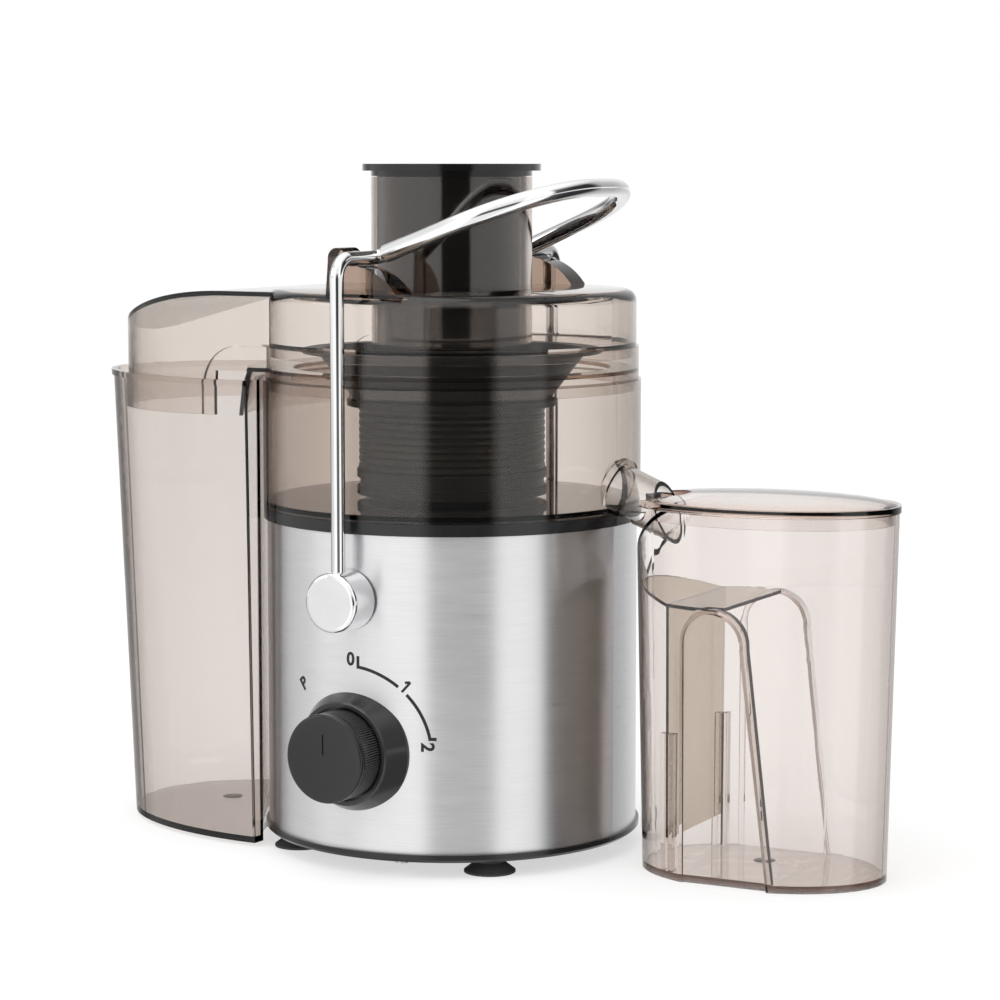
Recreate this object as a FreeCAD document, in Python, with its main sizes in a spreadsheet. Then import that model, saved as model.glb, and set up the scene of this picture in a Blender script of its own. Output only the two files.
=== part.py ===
import FreeCAD, Part
import math
import os
from types import SimpleNamespace

import Sketcher

Vector = FreeCAD.Vector
Rotation = FreeCAD.Rotation

# Frame: +Z up, origin on the motor axis at the surface that the feet stand on.
# The control knob faces -Y, the juice spout points to +X, the pulp container hangs at -X.

# Driving dimensions in millimetres, angles in degrees
SIZES = {
    # Fits between pieces
    "fit_gap": 0.15,
    "seat_gap": 0.3,
    "shaft_gap": 0.03,
    "pin_gap": 0.05,
    # Feet and bottom cover
    "foot_height": 8.0,
    "foot_radius": 13.0,
    "foot_circle": 81.5,
    "foot_neck": 7.5,
    "foot_stem": 4.0,
    "foot_head": 6.0,
    "cover_radius": 97.7,
    "cover_lip": 4.0,
    "cover_plate": 3.0,
    "spigot_height": 6.0,
    "vent_count": 18,
    "vent_width": 3.0,
    "vent_start": 24.0,
    "vent_length": 22.0,
    "cover_screw_circle": 87.3,
    "cover_screw_angle": 15.0,
    "cover_screw_length": 16.0,
    "screw_radius": 1.6,
    "screw_head": 3.4,
    "screw_head_height": 2.2,
    "pillar_radius": 5.0,
    "pillar_height": 30.0,
    # Steel body and its plastic housing
    "steel_radius": 96.0,
    "steel_wall": 0.8,
    "steel_height": 158.7,
    "housing_wall": 2.2,
    # Motor deck under the bowl
    "collar_radius": 97.8,
    "collar_height": 6.0,
    "collar_seat": 4.5,
    "deck_rise": 2.0,
    "deck_plate": 3.0,
    "hub_bore": 15.0,
    "hub_wall": 3.0,
    "hub_height": 12.5,
    "seal_height": 8.0,
    # Motor
    "shaft_radius": 4.0,
    "post_circle": 46.0,
    "post_radius": 6.0,
    "post_length": 24.0,
    "mount_height": 3.0,
    "bracket_radius": 56.0,
    "bracket_plate": 3.0,
    "bracket_leg": 18.5,
    "leg_radius": 5.0,
    "bolt_circle": 48.0,
    "bolt_radius": 2.0,
    "bolt_head": 4.0,
    "bolt_head_height": 3.0,
    "bearing_radius": 11.0,
    "bearing_width": 7.0,
    "bearing_cup": 14.0,
    "stator_width": 80.0,
    "stator_round": 8.0,
    "stack_length": 40.0,
    "lower_leg": 31.0,
    "armature_radius": 22.0,
    "air_gap": 0.6,
    "slot_count": 12,
    "slot_radius": 1.8,
    "winding_radius": 19.5,
    "winding_overhang": 9.0,
    "coil_inner": 24.5,
    "coil_outer": 34.0,
    "coil_half_angle": 68.0,
    "pole_half_angle": 42.0,
    "coil_overhang": 7.0,
    "commutator_radius": 11.0,
    "commutator_length": 12.0,
    "commutator_drop": 11.0,
    "brush_width": 6.0,
    "brush_length": 18.0,
    "brush_holder_width": 11.0,
    "brush_holder_start": 14.0,
    "brush_holder_end": 40.0,
    "fan_radius": 42.0,
    "fan_hub": 9.0,
    "fan_height": 13.0,
    "fan_plate": 1.6,
    "fan_blades": 9,
    "fan_blade_wall": 1.6,
    "fan_drop": 4.0,
    # Control knob and switch
    "knob_height": 61.5,
    "knob_radius": 22.3,
    "knob_reach": 24.5,
    "knob_edge": 4.5,
    "knob_skirt": 5.5,
    "knob_ribs": 40,
    "knob_rib_depth": 0.7,
    "pointer_length": 11.0,
    "pointer_width": 1.6,
    "pointer_depth": 0.8,
    "bezel_radius": 31.4,
    "bezel_rim": 25.3,
    "bezel_height": 8.5,
    "bezel_recess": 4.0,
    "bezel_hole_gap": 1.4,
    "bush_radius": 8.0,
    "switch_seat": 8.0,
    "switch_width": 34.0,
    "switch_depth": 22.0,
    "switch_boss": 20.0,
    "switch_shaft_radius": 3.0,
    "switch_shaft_grip": 9.0,
    # Cord gland and lid interlock
    "gland_height": 27.0,
    "gland_radius": 6.5,
    "gland_flange": 9.0,
    "gland_reach": 3.0,
    "gland_bore": 3.6,
    "interlock_height": 112.0,
    "interlock_width": 20.0,
    "interlock_tall": 10.0,
    "interlock_deep": 6.5,
    "interlock_seat": 5.5,
    # Locking arm
    "pivot_height": 138.0,
    "stud_radius": 5.0,
    "stud_head": 8.0,
    "stud_boss": 10.0,
    "stud_boss_depth": 13.0,
    "hub_radius": 15.0,
    "hub_length": 17.6,
    "hub_edge": 2.5,
    "hub_stand_off": 0.6,
    "rod_radius": 3.5,
    "rod_offset": 10.0,
    "arm_height": 168.0,
    "rod_bend": 9.0,
    "rod_corner": 4.0,
    "loop_half_width": 70.0,
    "loop_end_half_width": 64.0,
    "loop_straight": 62.0,
    "loop_reach": 94.0,
    "loop_corner": 60.0,
    "loop_rise_angle": 21.5,
    "loop_tube": 4.5,
    "loop_socket": 14.0,
    "loop_start": 5.0,
    # Juice bowl and its spout
    "bowl_radius": 97.9,
    "bowl_height": 65.5,
    "bowl_wall": 2.5,
    "bowl_floor": 2.5,
    "bowl_foot": 1.0,
    "bowl_collar_height": 9.5,
    "spout_radius": 13.5,
    "spout_end_radius": 12.3,
    "spout_wall": 1.8,
    "spout_drop_angle": 20.0,
    "spout_rise": 14.0,
    "spout_reach": 122.0,
    "spout_lip": 10.0,
    "spout_tip_rise": 5.0,
    "spout_collar": 2.0,
    "hook_half_width": 12.0,
    "hook_drop": 1.0,
    "hook_height": 3.0,
    # Pulp deck between bowl and lid
    "surround_radius": 96.7,
    "surround_height": 17.0,
    "surround_wall": 2.5,
    "locating_lip": 5.0,
    "lip_wall": 2.2,
    "pulp_deck_bore": 82.0,
    "pulp_deck_rise": 4.0,
    "pulp_deck_wall": 2.0,
    "ramp_flat": 103.0,
    "ramp_knee": 107.8,
    "ramp_foot": 109.6,
    "seam_reach": 111.0,
    "seam_round": 22.0,
    # Lid with feed chute, ears and pulp duct
    "lid_radius": 95.4,
    "lid_height": 29.0,
    "lid_wall": 2.5,
    "lid_edge": 6.0,
    "chute_radius": 41.5,
    "chute_wall": 2.2,
    "chute_rise": 57.5,
    "chute_clearance": 3.0,
    "ear_start": 78.0,
    "ear_end": 93.0,
    "ear_half_length": 27.0,
    "ear_back_length": 15.5,
    "ear_height": 23.0,
    "ear_wall": 2.2,
    "duct_half_width": 66.0,
    "duct_straight": 117.0,
    "duct_reach": 195.5,
    "duct_wall": 2.5,
    "duct_skirt": 19.0,
    "duct_roof_drop": 1.0,
    "duct_roof_flat": 100.0,
    "duct_end_drop": 25.0,
    # Filter basket
    "basket_lift": 0.8,
    "skirt_clearance": 2.5,
    "skirt_step": 1.6,
    "skirt_ring": 4.0,
    "basket_hub": 17.0,
    "coupling_radius": 9.0,
    "coupling_lug": 2.6,
    "coupling_lugs": 6,
    "coupling_height": 8.2,
    "basket_plate": 3.0,
    "sieve_radius": 48.3,
    "sieve_wall": 1.2,
    "sieve_height": 33.0,
    "sieve_ridges": 9,
    "ridge_depth": 0.7,
    "grater_wall": 1.0,
    "tooth_rows": 12,
    "tooth_radius": 1.3,
    "tooth_height": 1.6,
    "basket_ring": 54.5,
    "basket_ring_height": 3.0,
    "basket_cone": 69.5,
    "basket_cone_height": 26.0,
    "basket_flange": 77.5,
    "basket_flange_wall": 1.8,
    # Food pusher
    "pusher_gap": 0.7,
    "pusher_wall": 2.4,
    "pusher_flange": 46.0,
    "pusher_flange_height": 3.5,
    "pusher_shoulder": 2.7,
    "pusher_clearance": 4.0,
    # Pulp container
    "container_bottom": 2.0,
    "container_top": 242.5,
    "container_centre": 85.0,
    "container_length_low": 110.0,
    "container_width_low": 74.0,
    "container_length_top": 121.5,
    "container_width_top": 78.0,
    "container_wall": 2.4,
    "container_floor": 3.0,
    "container_gap": 4.0,
    "container_corner": 75.0,
    "container_bead": 1.2,
    "container_bead_height": 3.0,
    "container_lip": 1.7,
    # Juice jug with its lid and froth separator
    "jug_x": 175.0,
    "jug_y": 13.0,
    "jug_turn": 4.0,
    "jug_height": 183.0,
    "jug_length_low": 63.2,
    "jug_width_low": 45.2,
    "jug_length_top": 67.5,
    "jug_width_top": 46.5,
    "jug_wall": 2.2,
    "jug_floor": 3.5,
    "beak_height": 146.0,
    "beak_slope": 45.0,
    "grip_left": 26.5,
    "grip_right_low": 19.0,
    "grip_right_top": 5.0,
    "grip_height": 118.0,
    "grip_crown": 17.0,
    "grip_depth": 5.5,
    "rail_wall": 2.6,
    "rail_reach": 6.0,
    "rail_height": 70.0,
    "jug_lid_overhang": 0.8,
    "jug_lid_plate": 3.4,
    "jug_lid_dome": 4.0,
    "jug_lid_wall": 2.2,
    "jug_lid_skirt": 6.0,
    "jug_lid_skirt_wall": 1.8,
    "jug_lid_slot_gap": 2.2,
    "jug_lid_slot_end": 38.0,
    "separator_place": 37.0,
    "separator_wall": 1.8,
    "separator_bottom": 20.0,
    "separator_roof": 137.5,
    "separator_roof_end": 6.5,
    "separator_crest": 146.5,
    "separator_gap": 1.0,
}


class Size:
    """A number together with the sheet expression that gives it."""

    def __init__(self, value, text):
        self.value = float(value)
        self.text = text

    def __add__(self, other):
        other = size_of(other)
        return Size(self.value + other.value, f"({self.text} + {other.text})")

    def __radd__(self, other):
        return size_of(other) + self

    def __sub__(self, other):
        other = size_of(other)
        return Size(self.value - other.value, f"({self.text} - {other.text})")

    def __rsub__(self, other):
        return size_of(other) - self

    def __mul__(self, factor):
        factor = size_of(factor)
        return Size(self.value * factor.value, f"({self.text} * {factor.text})")

    def __rmul__(self, factor):
        return size_of(factor) * self

    def __truediv__(self, factor):
        factor = size_of(factor)
        return Size(self.value / factor.value, f"({self.text} / {factor.text})")

    def __neg__(self):
        return Size(-self.value, f"(-1 * {self.text})")

    def __float__(self):
        return self.value


def size_of(number):
    if isinstance(number, Size):
        return number
    return Size(number, f"({float(number)})")


doc = FreeCAD.newDocument("centrifugal_juicer")
sheet = doc.addObject("Spreadsheet::Sheet", "sizes")
for row, (name, number) in enumerate(SIZES.items(), start=1):
    sheet.set(f"A{row}", name)
    sheet.set(f"B{row}", str(number))
    sheet.setAlias(f"B{row}", name)
doc.recompute()
s = SimpleNamespace(**{name: Size(sheet.get(name), f"sizes.{name}") for name in SIZES})

# Directions of a turned piece's own axis
UPRIGHT = Rotation()
FRONT = Rotation(Vector(1, 0, 0), 90)
REAR = Rotation(Vector(1, 0, 0), -90)
SIDES = {"front": FRONT, "rear": REAR}

# Heights of the stacked pieces
base_bottom = s.foot_height
steel_bottom = base_bottom + s.cover_lip
steel_top = steel_bottom + s.steel_height
collar_top = steel_top + s.collar_height
bowl_top = collar_top + s.bowl_height
surround_top = bowl_top + s.surround_height
lid_top = surround_top + s.lid_height
chute_top = lid_top + s.chute_rise
cover_top = base_bottom + s.cover_plate
housing_bottom = steel_bottom + s.spigot_height
housing_top = steel_top - s.spigot_height
deck_bottom = steel_top + s.deck_rise
deck_top = deck_bottom + s.deck_plate
hub_top = deck_top + s.hub_height
bracket_top = deck_bottom - s.post_length - s.mount_height
bracket_bottom = bracket_top - s.bracket_plate
stack_top = bracket_bottom - s.bracket_leg
stack_bottom = stack_top - s.stack_length
lower_top = stack_bottom - s.lower_leg
lower_bottom = lower_top - s.bracket_plate
fan_top = lower_bottom - s.fan_drop
fan_bottom = fan_top - s.fan_height
basket_bottom = hub_top + s.basket_lift
coupling_top = basket_bottom + s.coupling_height
plate_top = coupling_top + s.seat_gap + s.grater_wall
plate_bottom = plate_top - s.basket_plate
grater_top = plate_top + s.grater_wall
sieve_top = plate_bottom + s.sieve_height
chute_bottom = grater_top + s.tooth_height + s.chute_clearance
pulp_deck = bowl_top + s.pulp_deck_rise
rod_height = s.pivot_height + s.arm_height

# Radii that several pieces share
steel_bore = s.steel_radius - s.steel_wall
housing_radius = steel_bore - s.fit_gap
housing_bore = housing_radius - s.housing_wall
bowl_bore = s.bowl_radius - s.bowl_wall
surround_bore = s.surround_radius - s.surround_wall
lid_bore = s.lid_radius - s.lid_wall
chute_bore = s.chute_radius - s.chute_wall
shaft_bore = s.shaft_radius + s.shaft_gap
container_bore = s.steel_radius + s.container_gap
pole_gap_angle = 0.5

NODES = []


def node(label, shape):
    """Names a finished sub-part and lists it for writing."""
    shape.Label = label
    NODES.append(shape)
    return shape


def bind(obj, prop, number):
    obj.setExpression(prop, size_of(number).text)


def place(obj, base=(0, 0, 0), turn=UPRIGHT):
    obj.Placement = FreeCAD.Placement(Vector(*[float(c) for c in base]), turn)
    for axis, number in zip("xyz", base):
        bind(obj, f"Placement.Base.{axis}", number)
    return obj


def cylinder(radius, height, base=(0, 0, 0), turn=UPRIGHT, angle=360):
    obj = doc.addObject("Part::Cylinder", "cylinder")
    bind(obj, "Radius", radius)
    bind(obj, "Height", height)
    bind(obj, "Angle", angle)
    return place(obj, base, turn)


def cone(low_radius, top_radius, height, base=(0, 0, 0), turn=UPRIGHT):
    obj = doc.addObject("Part::Cone", "cone")
    bind(obj, "Radius1", low_radius)
    bind(obj, "Radius2", top_radius)
    bind(obj, "Height", height)
    return place(obj, base, turn)


def block(lengths, base, turn=UPRIGHT):
    obj = doc.addObject("Part::Box", "block")
    for prop, number in zip(("Length", "Width", "Height"), lengths):
        bind(obj, prop, number)
    return place(obj, base, turn)


def cut(base, *tools):
    obj = doc.addObject("Part::Cut", "cut")
    obj.Base = base
    obj.Tool = tools[0] if len(tools) == 1 else group(*tools)
    obj.Refine = True
    return obj


def fuse(*shapes):
    obj = doc.addObject("Part::MultiFuse", "fuse")
    obj.Shapes = list(shapes)
    obj.Refine = True
    return obj


def common(*shapes):
    obj = doc.addObject("Part::MultiCommon", "common")
    obj.Shapes = list(shapes)
    obj.Refine = True
    return obj


def group(*shapes):
    obj = doc.addObject("Part::Compound", "group")
    obj.Links = list(shapes)
    return obj


def formed(shape, base=(0, 0, 0), turn=UPRIGHT):
    """A free form made with Part's own functions from the sheet's sizes."""
    obj = doc.addObject("Part::Feature", "formed")
    obj.Shape = shape
    return place(obj, base, turn)


def origin_plane(body, role):
    return next(f for f in body.Origin.OriginFeatures if f.Role == role)


def outline(body, plane, points):
    """A closed sketch through points whose coordinates are bound to the sheet."""
    sketch = body.newObject("Sketcher::SketchObject", "outline")
    sketch.AttachmentSupport = [(origin_plane(body, plane), "")]
    sketch.MapMode = "FlatFace"
    corners = [Vector(float(x), float(y), 0) for x, y in points]
    count = len(corners)
    for i, corner in enumerate(corners):
        sketch.addGeometry(Part.LineSegment(corner, corners[(i + 1) % count]))
    for i in range(count):
        sketch.addConstraint(Sketcher.Constraint("Coincident", i, 2, (i + 1) % count, 1))
    for i, point in enumerate(points):
        for kind, axis, number in zip(("DistanceX", "DistanceY"), (-2, -1), point):
            if not isinstance(number, Size) and number == 0:
                sketch.addConstraint(Sketcher.Constraint("PointOnObject", i, 1, axis))
                continue
            rule = Sketcher.Constraint(kind, -1, 1, i, 1, float(number))
            index = sketch.addConstraint(rule)
            bind(sketch, f"Constraints[{index}]", number)
    return sketch


def turned(points, base=(0, 0, 0), turn=UPRIGHT, rounds=()):
    """A solid of revolution about its own axis, with rounded edges at given corners."""
    body = doc.addObject("PartDesign::Body", "turned")
    sketch = outline(body, "XZ_Plane", points)
    solid = body.newObject("PartDesign::Revolution", "revolution")
    solid.Profile = sketch
    solid.ReferenceAxis = (sketch, ["V_Axis"])
    solid.Angle = 360
    body.Tip = solid
    for radius, height, size in rounds:
        doc.recompute()
        tip = body.Tip
        fillet = body.newObject("PartDesign::Fillet", "fillet")
        fillet.Base = (tip, circle_edges(tip.Shape, radius, height))
        bind(fillet, "Radius", size)
        body.Tip = fillet
    return place(body, base, turn)


def circle_edges(shape, radius, height):
    names = []
    for i, edge in enumerate(shape.Edges, start=1):
        curve = edge.Curve
        if not isinstance(curve, Part.Circle):
            continue
        if abs(curve.Radius - float(radius)) < 0.01 and abs(curve.Center.z - float(height)) < 0.01:
            names.append(f"Edge{i}")
    return names


def padded(points, length, base=(0, 0, 0), turn=UPRIGHT, plane="XY_Plane", rounds=()):
    """A plate of a given outline, with its upright corners rounded."""
    body = doc.addObject("PartDesign::Body", "padded")
    sketch = outline(body, plane, points)
    solid = body.newObject("PartDesign::Pad", "pad")
    solid.Profile = sketch
    bind(solid, "Length", length)
    body.Tip = solid
    for size in rounds:
        doc.recompute()
        fillet = body.newObject("PartDesign::Fillet", "fillet")
        fillet.Base = (solid, upright_edges(solid.Shape))
        bind(fillet, "Radius", size)
        body.Tip = fillet
    return place(body, base, turn)


def upright_edges(shape):
    names = []
    for i, edge in enumerate(shape.Edges, start=1):
        first, last = edge.Vertexes[0].Point, edge.Vertexes[-1].Point
        if abs(first.x - last.x) < 0.001 and abs(first.y - last.y) < 0.001:
            names.append(f"Edge{i}")
    return names


def ring(inner, outer, bottom, top):
    return turned([(inner, bottom), (outer, bottom), (outer, top), (inner, top)])


def around(count, start=0.0):
    """Angles in degrees of count like pieces set evenly round the axis."""
    return [start + 360.0 * i / count for i in range(count)]


def polar(radius, angle):
    """The sheet-bound place at a radius and an angle in degrees."""
    return radius * math.cos(math.radians(angle)), radius * math.sin(math.radians(angle))


def spokes(count):
    return around(int(float(count)))


# Feet and bottom cover

def suction_feet():
    feet = []
    neck_top = base_bottom
    for angle in around(4, 45.0):
        x, y = polar(s.foot_circle, angle)
        feet.append(turned([
            (0, s.foot_height * 0.4), (s.foot_radius - 1.5, 0), (s.foot_radius, 0),
            (s.foot_radius, 1.0), (s.foot_neck, s.foot_height * 0.65), (s.foot_neck, neck_top),
            (s.foot_stem, neck_top), (s.foot_stem, cover_top + s.fit_gap),
            (s.foot_head, cover_top + s.fit_gap), (s.foot_stem, cover_top + s.fit_gap + 3.0),
            (0, cover_top + s.fit_gap + 3.0)], (x, y, 0)))
    node("suction_feet", group(*feet))


def bottom_cover():
    dish = turned([
        (0, base_bottom), (s.cover_radius - 1.5, base_bottom), (s.cover_radius, base_bottom + 1.5),
        (s.cover_radius, steel_bottom), (housing_radius, steel_bottom),
        (housing_radius, housing_bottom), (housing_bore, housing_bottom),
        (housing_bore, cover_top), (0, cover_top)])
    depth = s.cover_plate + 2.0
    holes = []
    for angle in around(4, 45.0):
        x, y = polar(s.foot_circle, angle)
        holes.append(cylinder(s.foot_stem + s.fit_gap, depth, (x, y, base_bottom - 1.0)))
    for angle in around(4, float(s.cover_screw_angle)):
        x, y = polar(s.cover_screw_circle, angle)
        holes.append(cylinder(s.screw_radius + s.fit_gap, depth, (x, y, base_bottom - 1.0)))
    for angle in spokes(s.vent_count):
        radial = Rotation(Vector(0, 0, 1), angle)
        x, y = polar(s.vent_start, angle)
        across = -s.vent_width / 2
        dx, dy = polar(across, angle + 90.0)
        holes.append(block((s.vent_length, s.vent_width, depth),
                           (x + dx, y + dy, base_bottom - 1.0), radial))
    node("bottom_cover", cut(dish, *holes))


def cover_screws():
    screws = []
    for angle in around(4, float(s.cover_screw_angle)):
        x, y = polar(s.cover_screw_circle, angle)
        screws.append(turned([
            (0, base_bottom - s.screw_head_height), (s.screw_head, base_bottom - s.screw_head_height),
            (s.screw_head, base_bottom), (s.screw_radius, base_bottom),
            (s.screw_radius, base_bottom + s.cover_screw_length),
            (0, base_bottom + s.cover_screw_length)], (x, y, 0)))
    node("cover_screws", group(*screws))


# Steel body and its plastic housing

def side_bore(radius, height, side):
    """A bore through the body wall towards the front or the rear."""
    return cylinder(radius, s.collar_radius + 10.0, (0, 0, height), SIDES[side])


def steel_sleeve():
    shell = ring(steel_bore, s.steel_radius, steel_bottom, steel_top)
    stud_hole = s.stud_radius + s.fit_gap
    node("steel_sleeve", cut(
        shell, side_bore(s.bush_radius + s.fit_gap, s.knob_height, "front"),
        side_bore(stud_hole, s.pivot_height, "front"), side_bore(stud_hole, s.pivot_height, "rear"),
        side_bore(s.gland_radius + s.fit_gap, s.gland_height, "rear")))


def inner_housing():
    wall = ring(housing_bore, housing_radius, housing_bottom, housing_top)
    pieces = [wall]
    for angle in around(4, float(s.cover_screw_angle)):
        x, y = polar(s.cover_screw_circle, angle)
        pieces.append(cylinder(s.pillar_radius, s.pillar_height, (x, y, cover_top)))
        dx, dy = polar(-s.pillar_radius / 2, angle + 90.0)
        web = block((housing_bore + 1.0 - s.cover_screw_circle, s.pillar_radius,
                     s.pillar_height - s.spigot_height - s.cover_lip),
                    (x + dx, y + dy, housing_bottom + s.seat_gap),
                    Rotation(Vector(0, 0, 1), angle))
        pieces.append(web)
    inside = cylinder(housing_radius, s.steel_height, (0, 0, steel_bottom))
    boss_start = housing_radius - s.stud_boss_depth
    seat_start = housing_radius - s.switch_seat
    pad_width = s.interlock_width + 4.0
    bosses = [
        cylinder(s.stud_boss, 30.0, (0, -boss_start, s.pivot_height), FRONT),
        cylinder(s.stud_boss, 30.0, (0, boss_start, s.pivot_height), REAR),
        cylinder(s.switch_boss, 30.0, (0, -seat_start, s.knob_height), FRONT),
        block((pad_width, 20.0, s.interlock_tall + 4.0),
              (-pad_width / 2, housing_radius - s.interlock_seat, s.interlock_height - 2.0))]
    pieces += [common(boss, inside) for boss in bosses]
    stud_hole = s.stud_radius + s.pin_gap
    screw_holes = []
    for angle in around(4, float(s.cover_screw_angle)):
        x, y = polar(s.cover_screw_circle, angle)
        screw_holes.append(cylinder(s.screw_radius + s.shaft_gap, s.cover_screw_length,
                                    (x, y, cover_top - 1.0)))
    node("inner_housing", cut(
        fuse(*pieces), side_bore(s.bush_radius + s.fit_gap, s.knob_height, "front"),
        side_bore(stud_hole, s.pivot_height, "front"), side_bore(stud_hole, s.pivot_height, "rear"),
        side_bore(s.gland_radius + s.fit_gap, s.gland_height, "rear"), *screw_holes))


def motor_deck():
    hub_radius = s.hub_bore + s.hub_wall
    seat = s.collar_radius - s.collar_seat
    deck = turned([
        (s.hub_bore, deck_bottom), (housing_bore, deck_bottom), (housing_bore, housing_top),
        (housing_radius, housing_top), (housing_radius, steel_top), (s.collar_radius, steel_top),
        (s.collar_radius, collar_top), (seat, collar_top), (seat, deck_top),
        (hub_radius, deck_top), (hub_radius, hub_top), (s.hub_bore, hub_top)])
    posts = []
    holes = []
    for angle in around(4):
        x, y = polar(s.post_circle, angle)
        posts.append(cylinder(s.post_radius, s.post_length + 1.0, (x, y, deck_bottom - s.post_length)))
        holes.append(cylinder(s.bolt_radius + s.shaft_gap, s.post_length - 3.0,
                              (x, y, deck_bottom - s.post_length - 1.0)))
    node("motor_deck", cut(fuse(deck, *posts), *holes))


def shaft_seal():
    bottom = deck_bottom + 1.0
    top = bottom + s.seal_height
    outer = s.hub_bore - s.pin_gap
    node("shaft_seal", turned([
        (outer, bottom), (outer, top), (outer - 3.0, top), (outer - 3.0, bottom + 2.5),
        (s.shaft_radius + 2.5, bottom + 2.5), (s.shaft_radius + 1.2, top),
        (s.shaft_radius + s.pin_gap, top), (s.shaft_radius + s.pin_gap, top - 1.5),
        (s.shaft_radius + 1.0, bottom)]))


# Motor

def bracket(plate_bottom_z, plate_top_z, cup_end, leg_end):
    """A motor end bracket: plate, bearing cup and four legs that reach the laminations."""
    cup_bore = s.bearing_radius + s.pin_gap
    outside = plate_top_z if leg_end.value < plate_bottom_z.value else plate_bottom_z
    inside = plate_bottom_z if leg_end.value < plate_bottom_z.value else plate_top_z
    lip = (outside + inside) / 2
    plate = turned([
        (s.shaft_radius + 2.5, outside), (s.bracket_radius, outside), (s.bracket_radius, inside),
        (s.bearing_cup, inside), (s.bearing_cup, cup_end), (cup_bore, cup_end),
        (cup_bore, lip), (s.shaft_radius + 2.5, lip)])
    low = leg_end if leg_end.value < plate_bottom_z.value else plate_top_z - 1.0
    high = plate_bottom_z + 1.0 if leg_end.value < plate_bottom_z.value else leg_end
    legs = []
    holes = []
    for angle in around(4, 45.0):
        x, y = polar(s.bolt_circle, angle)
        legs.append(cylinder(s.leg_radius, high - low, (x, y, low)))
        holes.append(cylinder(s.bolt_radius + s.fit_gap, high - low + 20.0, (x, y, low - 10.0)))
    for angle in around(4):
        x, y = polar(s.post_circle, angle)
        holes.append(cylinder(s.bolt_radius + s.fit_gap, s.bracket_plate + 2.0,
                              (x, y, plate_bottom_z - 1.0)))
        wide_x, wide_y = polar(s.bracket_radius * 0.5, angle + 22.5)
        holes.append(cylinder(s.leg_radius, s.bracket_plate + 2.0,
                              (wide_x, wide_y, plate_bottom_z - 1.0)))
    return cut(fuse(plate, *legs), *holes)


def motor_brackets():
    cup = s.bearing_width + s.bracket_plate / 2 + s.fit_gap
    node("upper_bracket", bracket(bracket_bottom, bracket_top, bracket_top - cup, stack_top))
    node("lower_bracket", bracket(lower_bottom, lower_top, lower_bottom + cup, stack_bottom))


def bearings():
    inner = s.shaft_radius + s.pin_gap
    top = bracket_top - s.bracket_plate / 2 - s.pin_gap
    node("upper_bearing", ring(inner, s.bearing_radius, top - s.bearing_width, top))
    bottom = lower_bottom + s.bracket_plate / 2 + s.pin_gap
    node("lower_bearing", ring(inner, s.bearing_radius, bottom, bottom + s.bearing_width))


def sector(inner, outer, half_angle, middle, bottom, height):
    """Part of a ring, half_angle degrees to each side of the middle angle."""
    start = Rotation(Vector(0, 0, 1), middle - float(half_angle))
    wedge = cylinder(outer, height, (0, 0, bottom), start, half_angle * 2)
    return cut(wedge, cylinder(inner, height, (0, 0, bottom)))


def stator_core():
    half = s.stator_width / 2
    core = padded([(-half, -half), (half, -half), (half, half), (-half, half)], s.stack_length,
                  (0, 0, stack_bottom), rounds=(s.stator_round,))
    holes = [cylinder(s.armature_radius + s.air_gap, s.stack_length, (0, 0, stack_bottom))]
    for middle in (90.0, 270.0):
        window = sector(s.coil_inner - s.seat_gap, s.coil_outer + s.seat_gap,
                        s.coil_half_angle + pole_gap_angle, middle, stack_bottom, s.stack_length)
        pole = sector(s.coil_inner - 1.0, s.coil_outer + 1.0,
                      s.pole_half_angle - pole_gap_angle, middle, stack_bottom, s.stack_length)
        holes.append(cut(window, pole))
    for angle in around(4, 45.0):
        x, y = polar(s.bolt_circle, angle)
        holes.append(cylinder(s.bolt_radius + s.fit_gap, s.stack_length, (x, y, stack_bottom)))
    node("stator_core", cut(core, *holes))


def field_coils():
    coils = []
    for middle in (90.0, 270.0):
        frame = sector(s.coil_inner, s.coil_outer, s.coil_half_angle, middle,
                       stack_bottom - s.coil_overhang, s.stack_length + s.coil_overhang * 2)
        window = sector(s.coil_inner - 1.0, s.coil_outer + 1.0, s.pole_half_angle, middle,
                        stack_bottom - s.seat_gap, s.stack_length + s.seat_gap * 2)
        coils.append(cut(frame, window))
    node("field_coils", group(*coils))


def motor_mounts():
    mounts = []
    for angle in around(4):
        x, y = polar(s.post_circle, angle)
        bush = cut(cylinder(s.post_radius, s.mount_height, (x, y, bracket_top)),
                   cylinder(s.bolt_radius + s.fit_gap, s.mount_height, (x, y, bracket_top)))
        mounts.append(bush)
    node("motor_mounts", group(*mounts))


def headed_screw(x, y, seat, length):
    """A screw from below, its head under the seat."""
    return turned([
        (0, seat - s.bolt_head_height), (s.bolt_head, seat - s.bolt_head_height),
        (s.bolt_head, seat), (s.bolt_radius, seat), (s.bolt_radius, seat + length),
        (0, seat + length)], (x, y, 0))


def motor_screws():
    length = s.bracket_plate + s.mount_height + s.post_length - 8.0
    mount_screws = [headed_screw(*polar(s.post_circle, angle), bracket_bottom, length)
                    for angle in around(4)]
    node("mount_screws", group(*mount_screws))
    bolts = [headed_screw(*polar(s.bolt_circle, angle), lower_bottom, bracket_top - lower_bottom)
             for angle in around(4, 45.0)]
    node("stator_bolts", group(*bolts))


commutator_top = stack_bottom - s.commutator_drop
commutator_middle = commutator_top - s.commutator_length / 2
brush_start = s.commutator_radius + s.seat_gap


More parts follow.
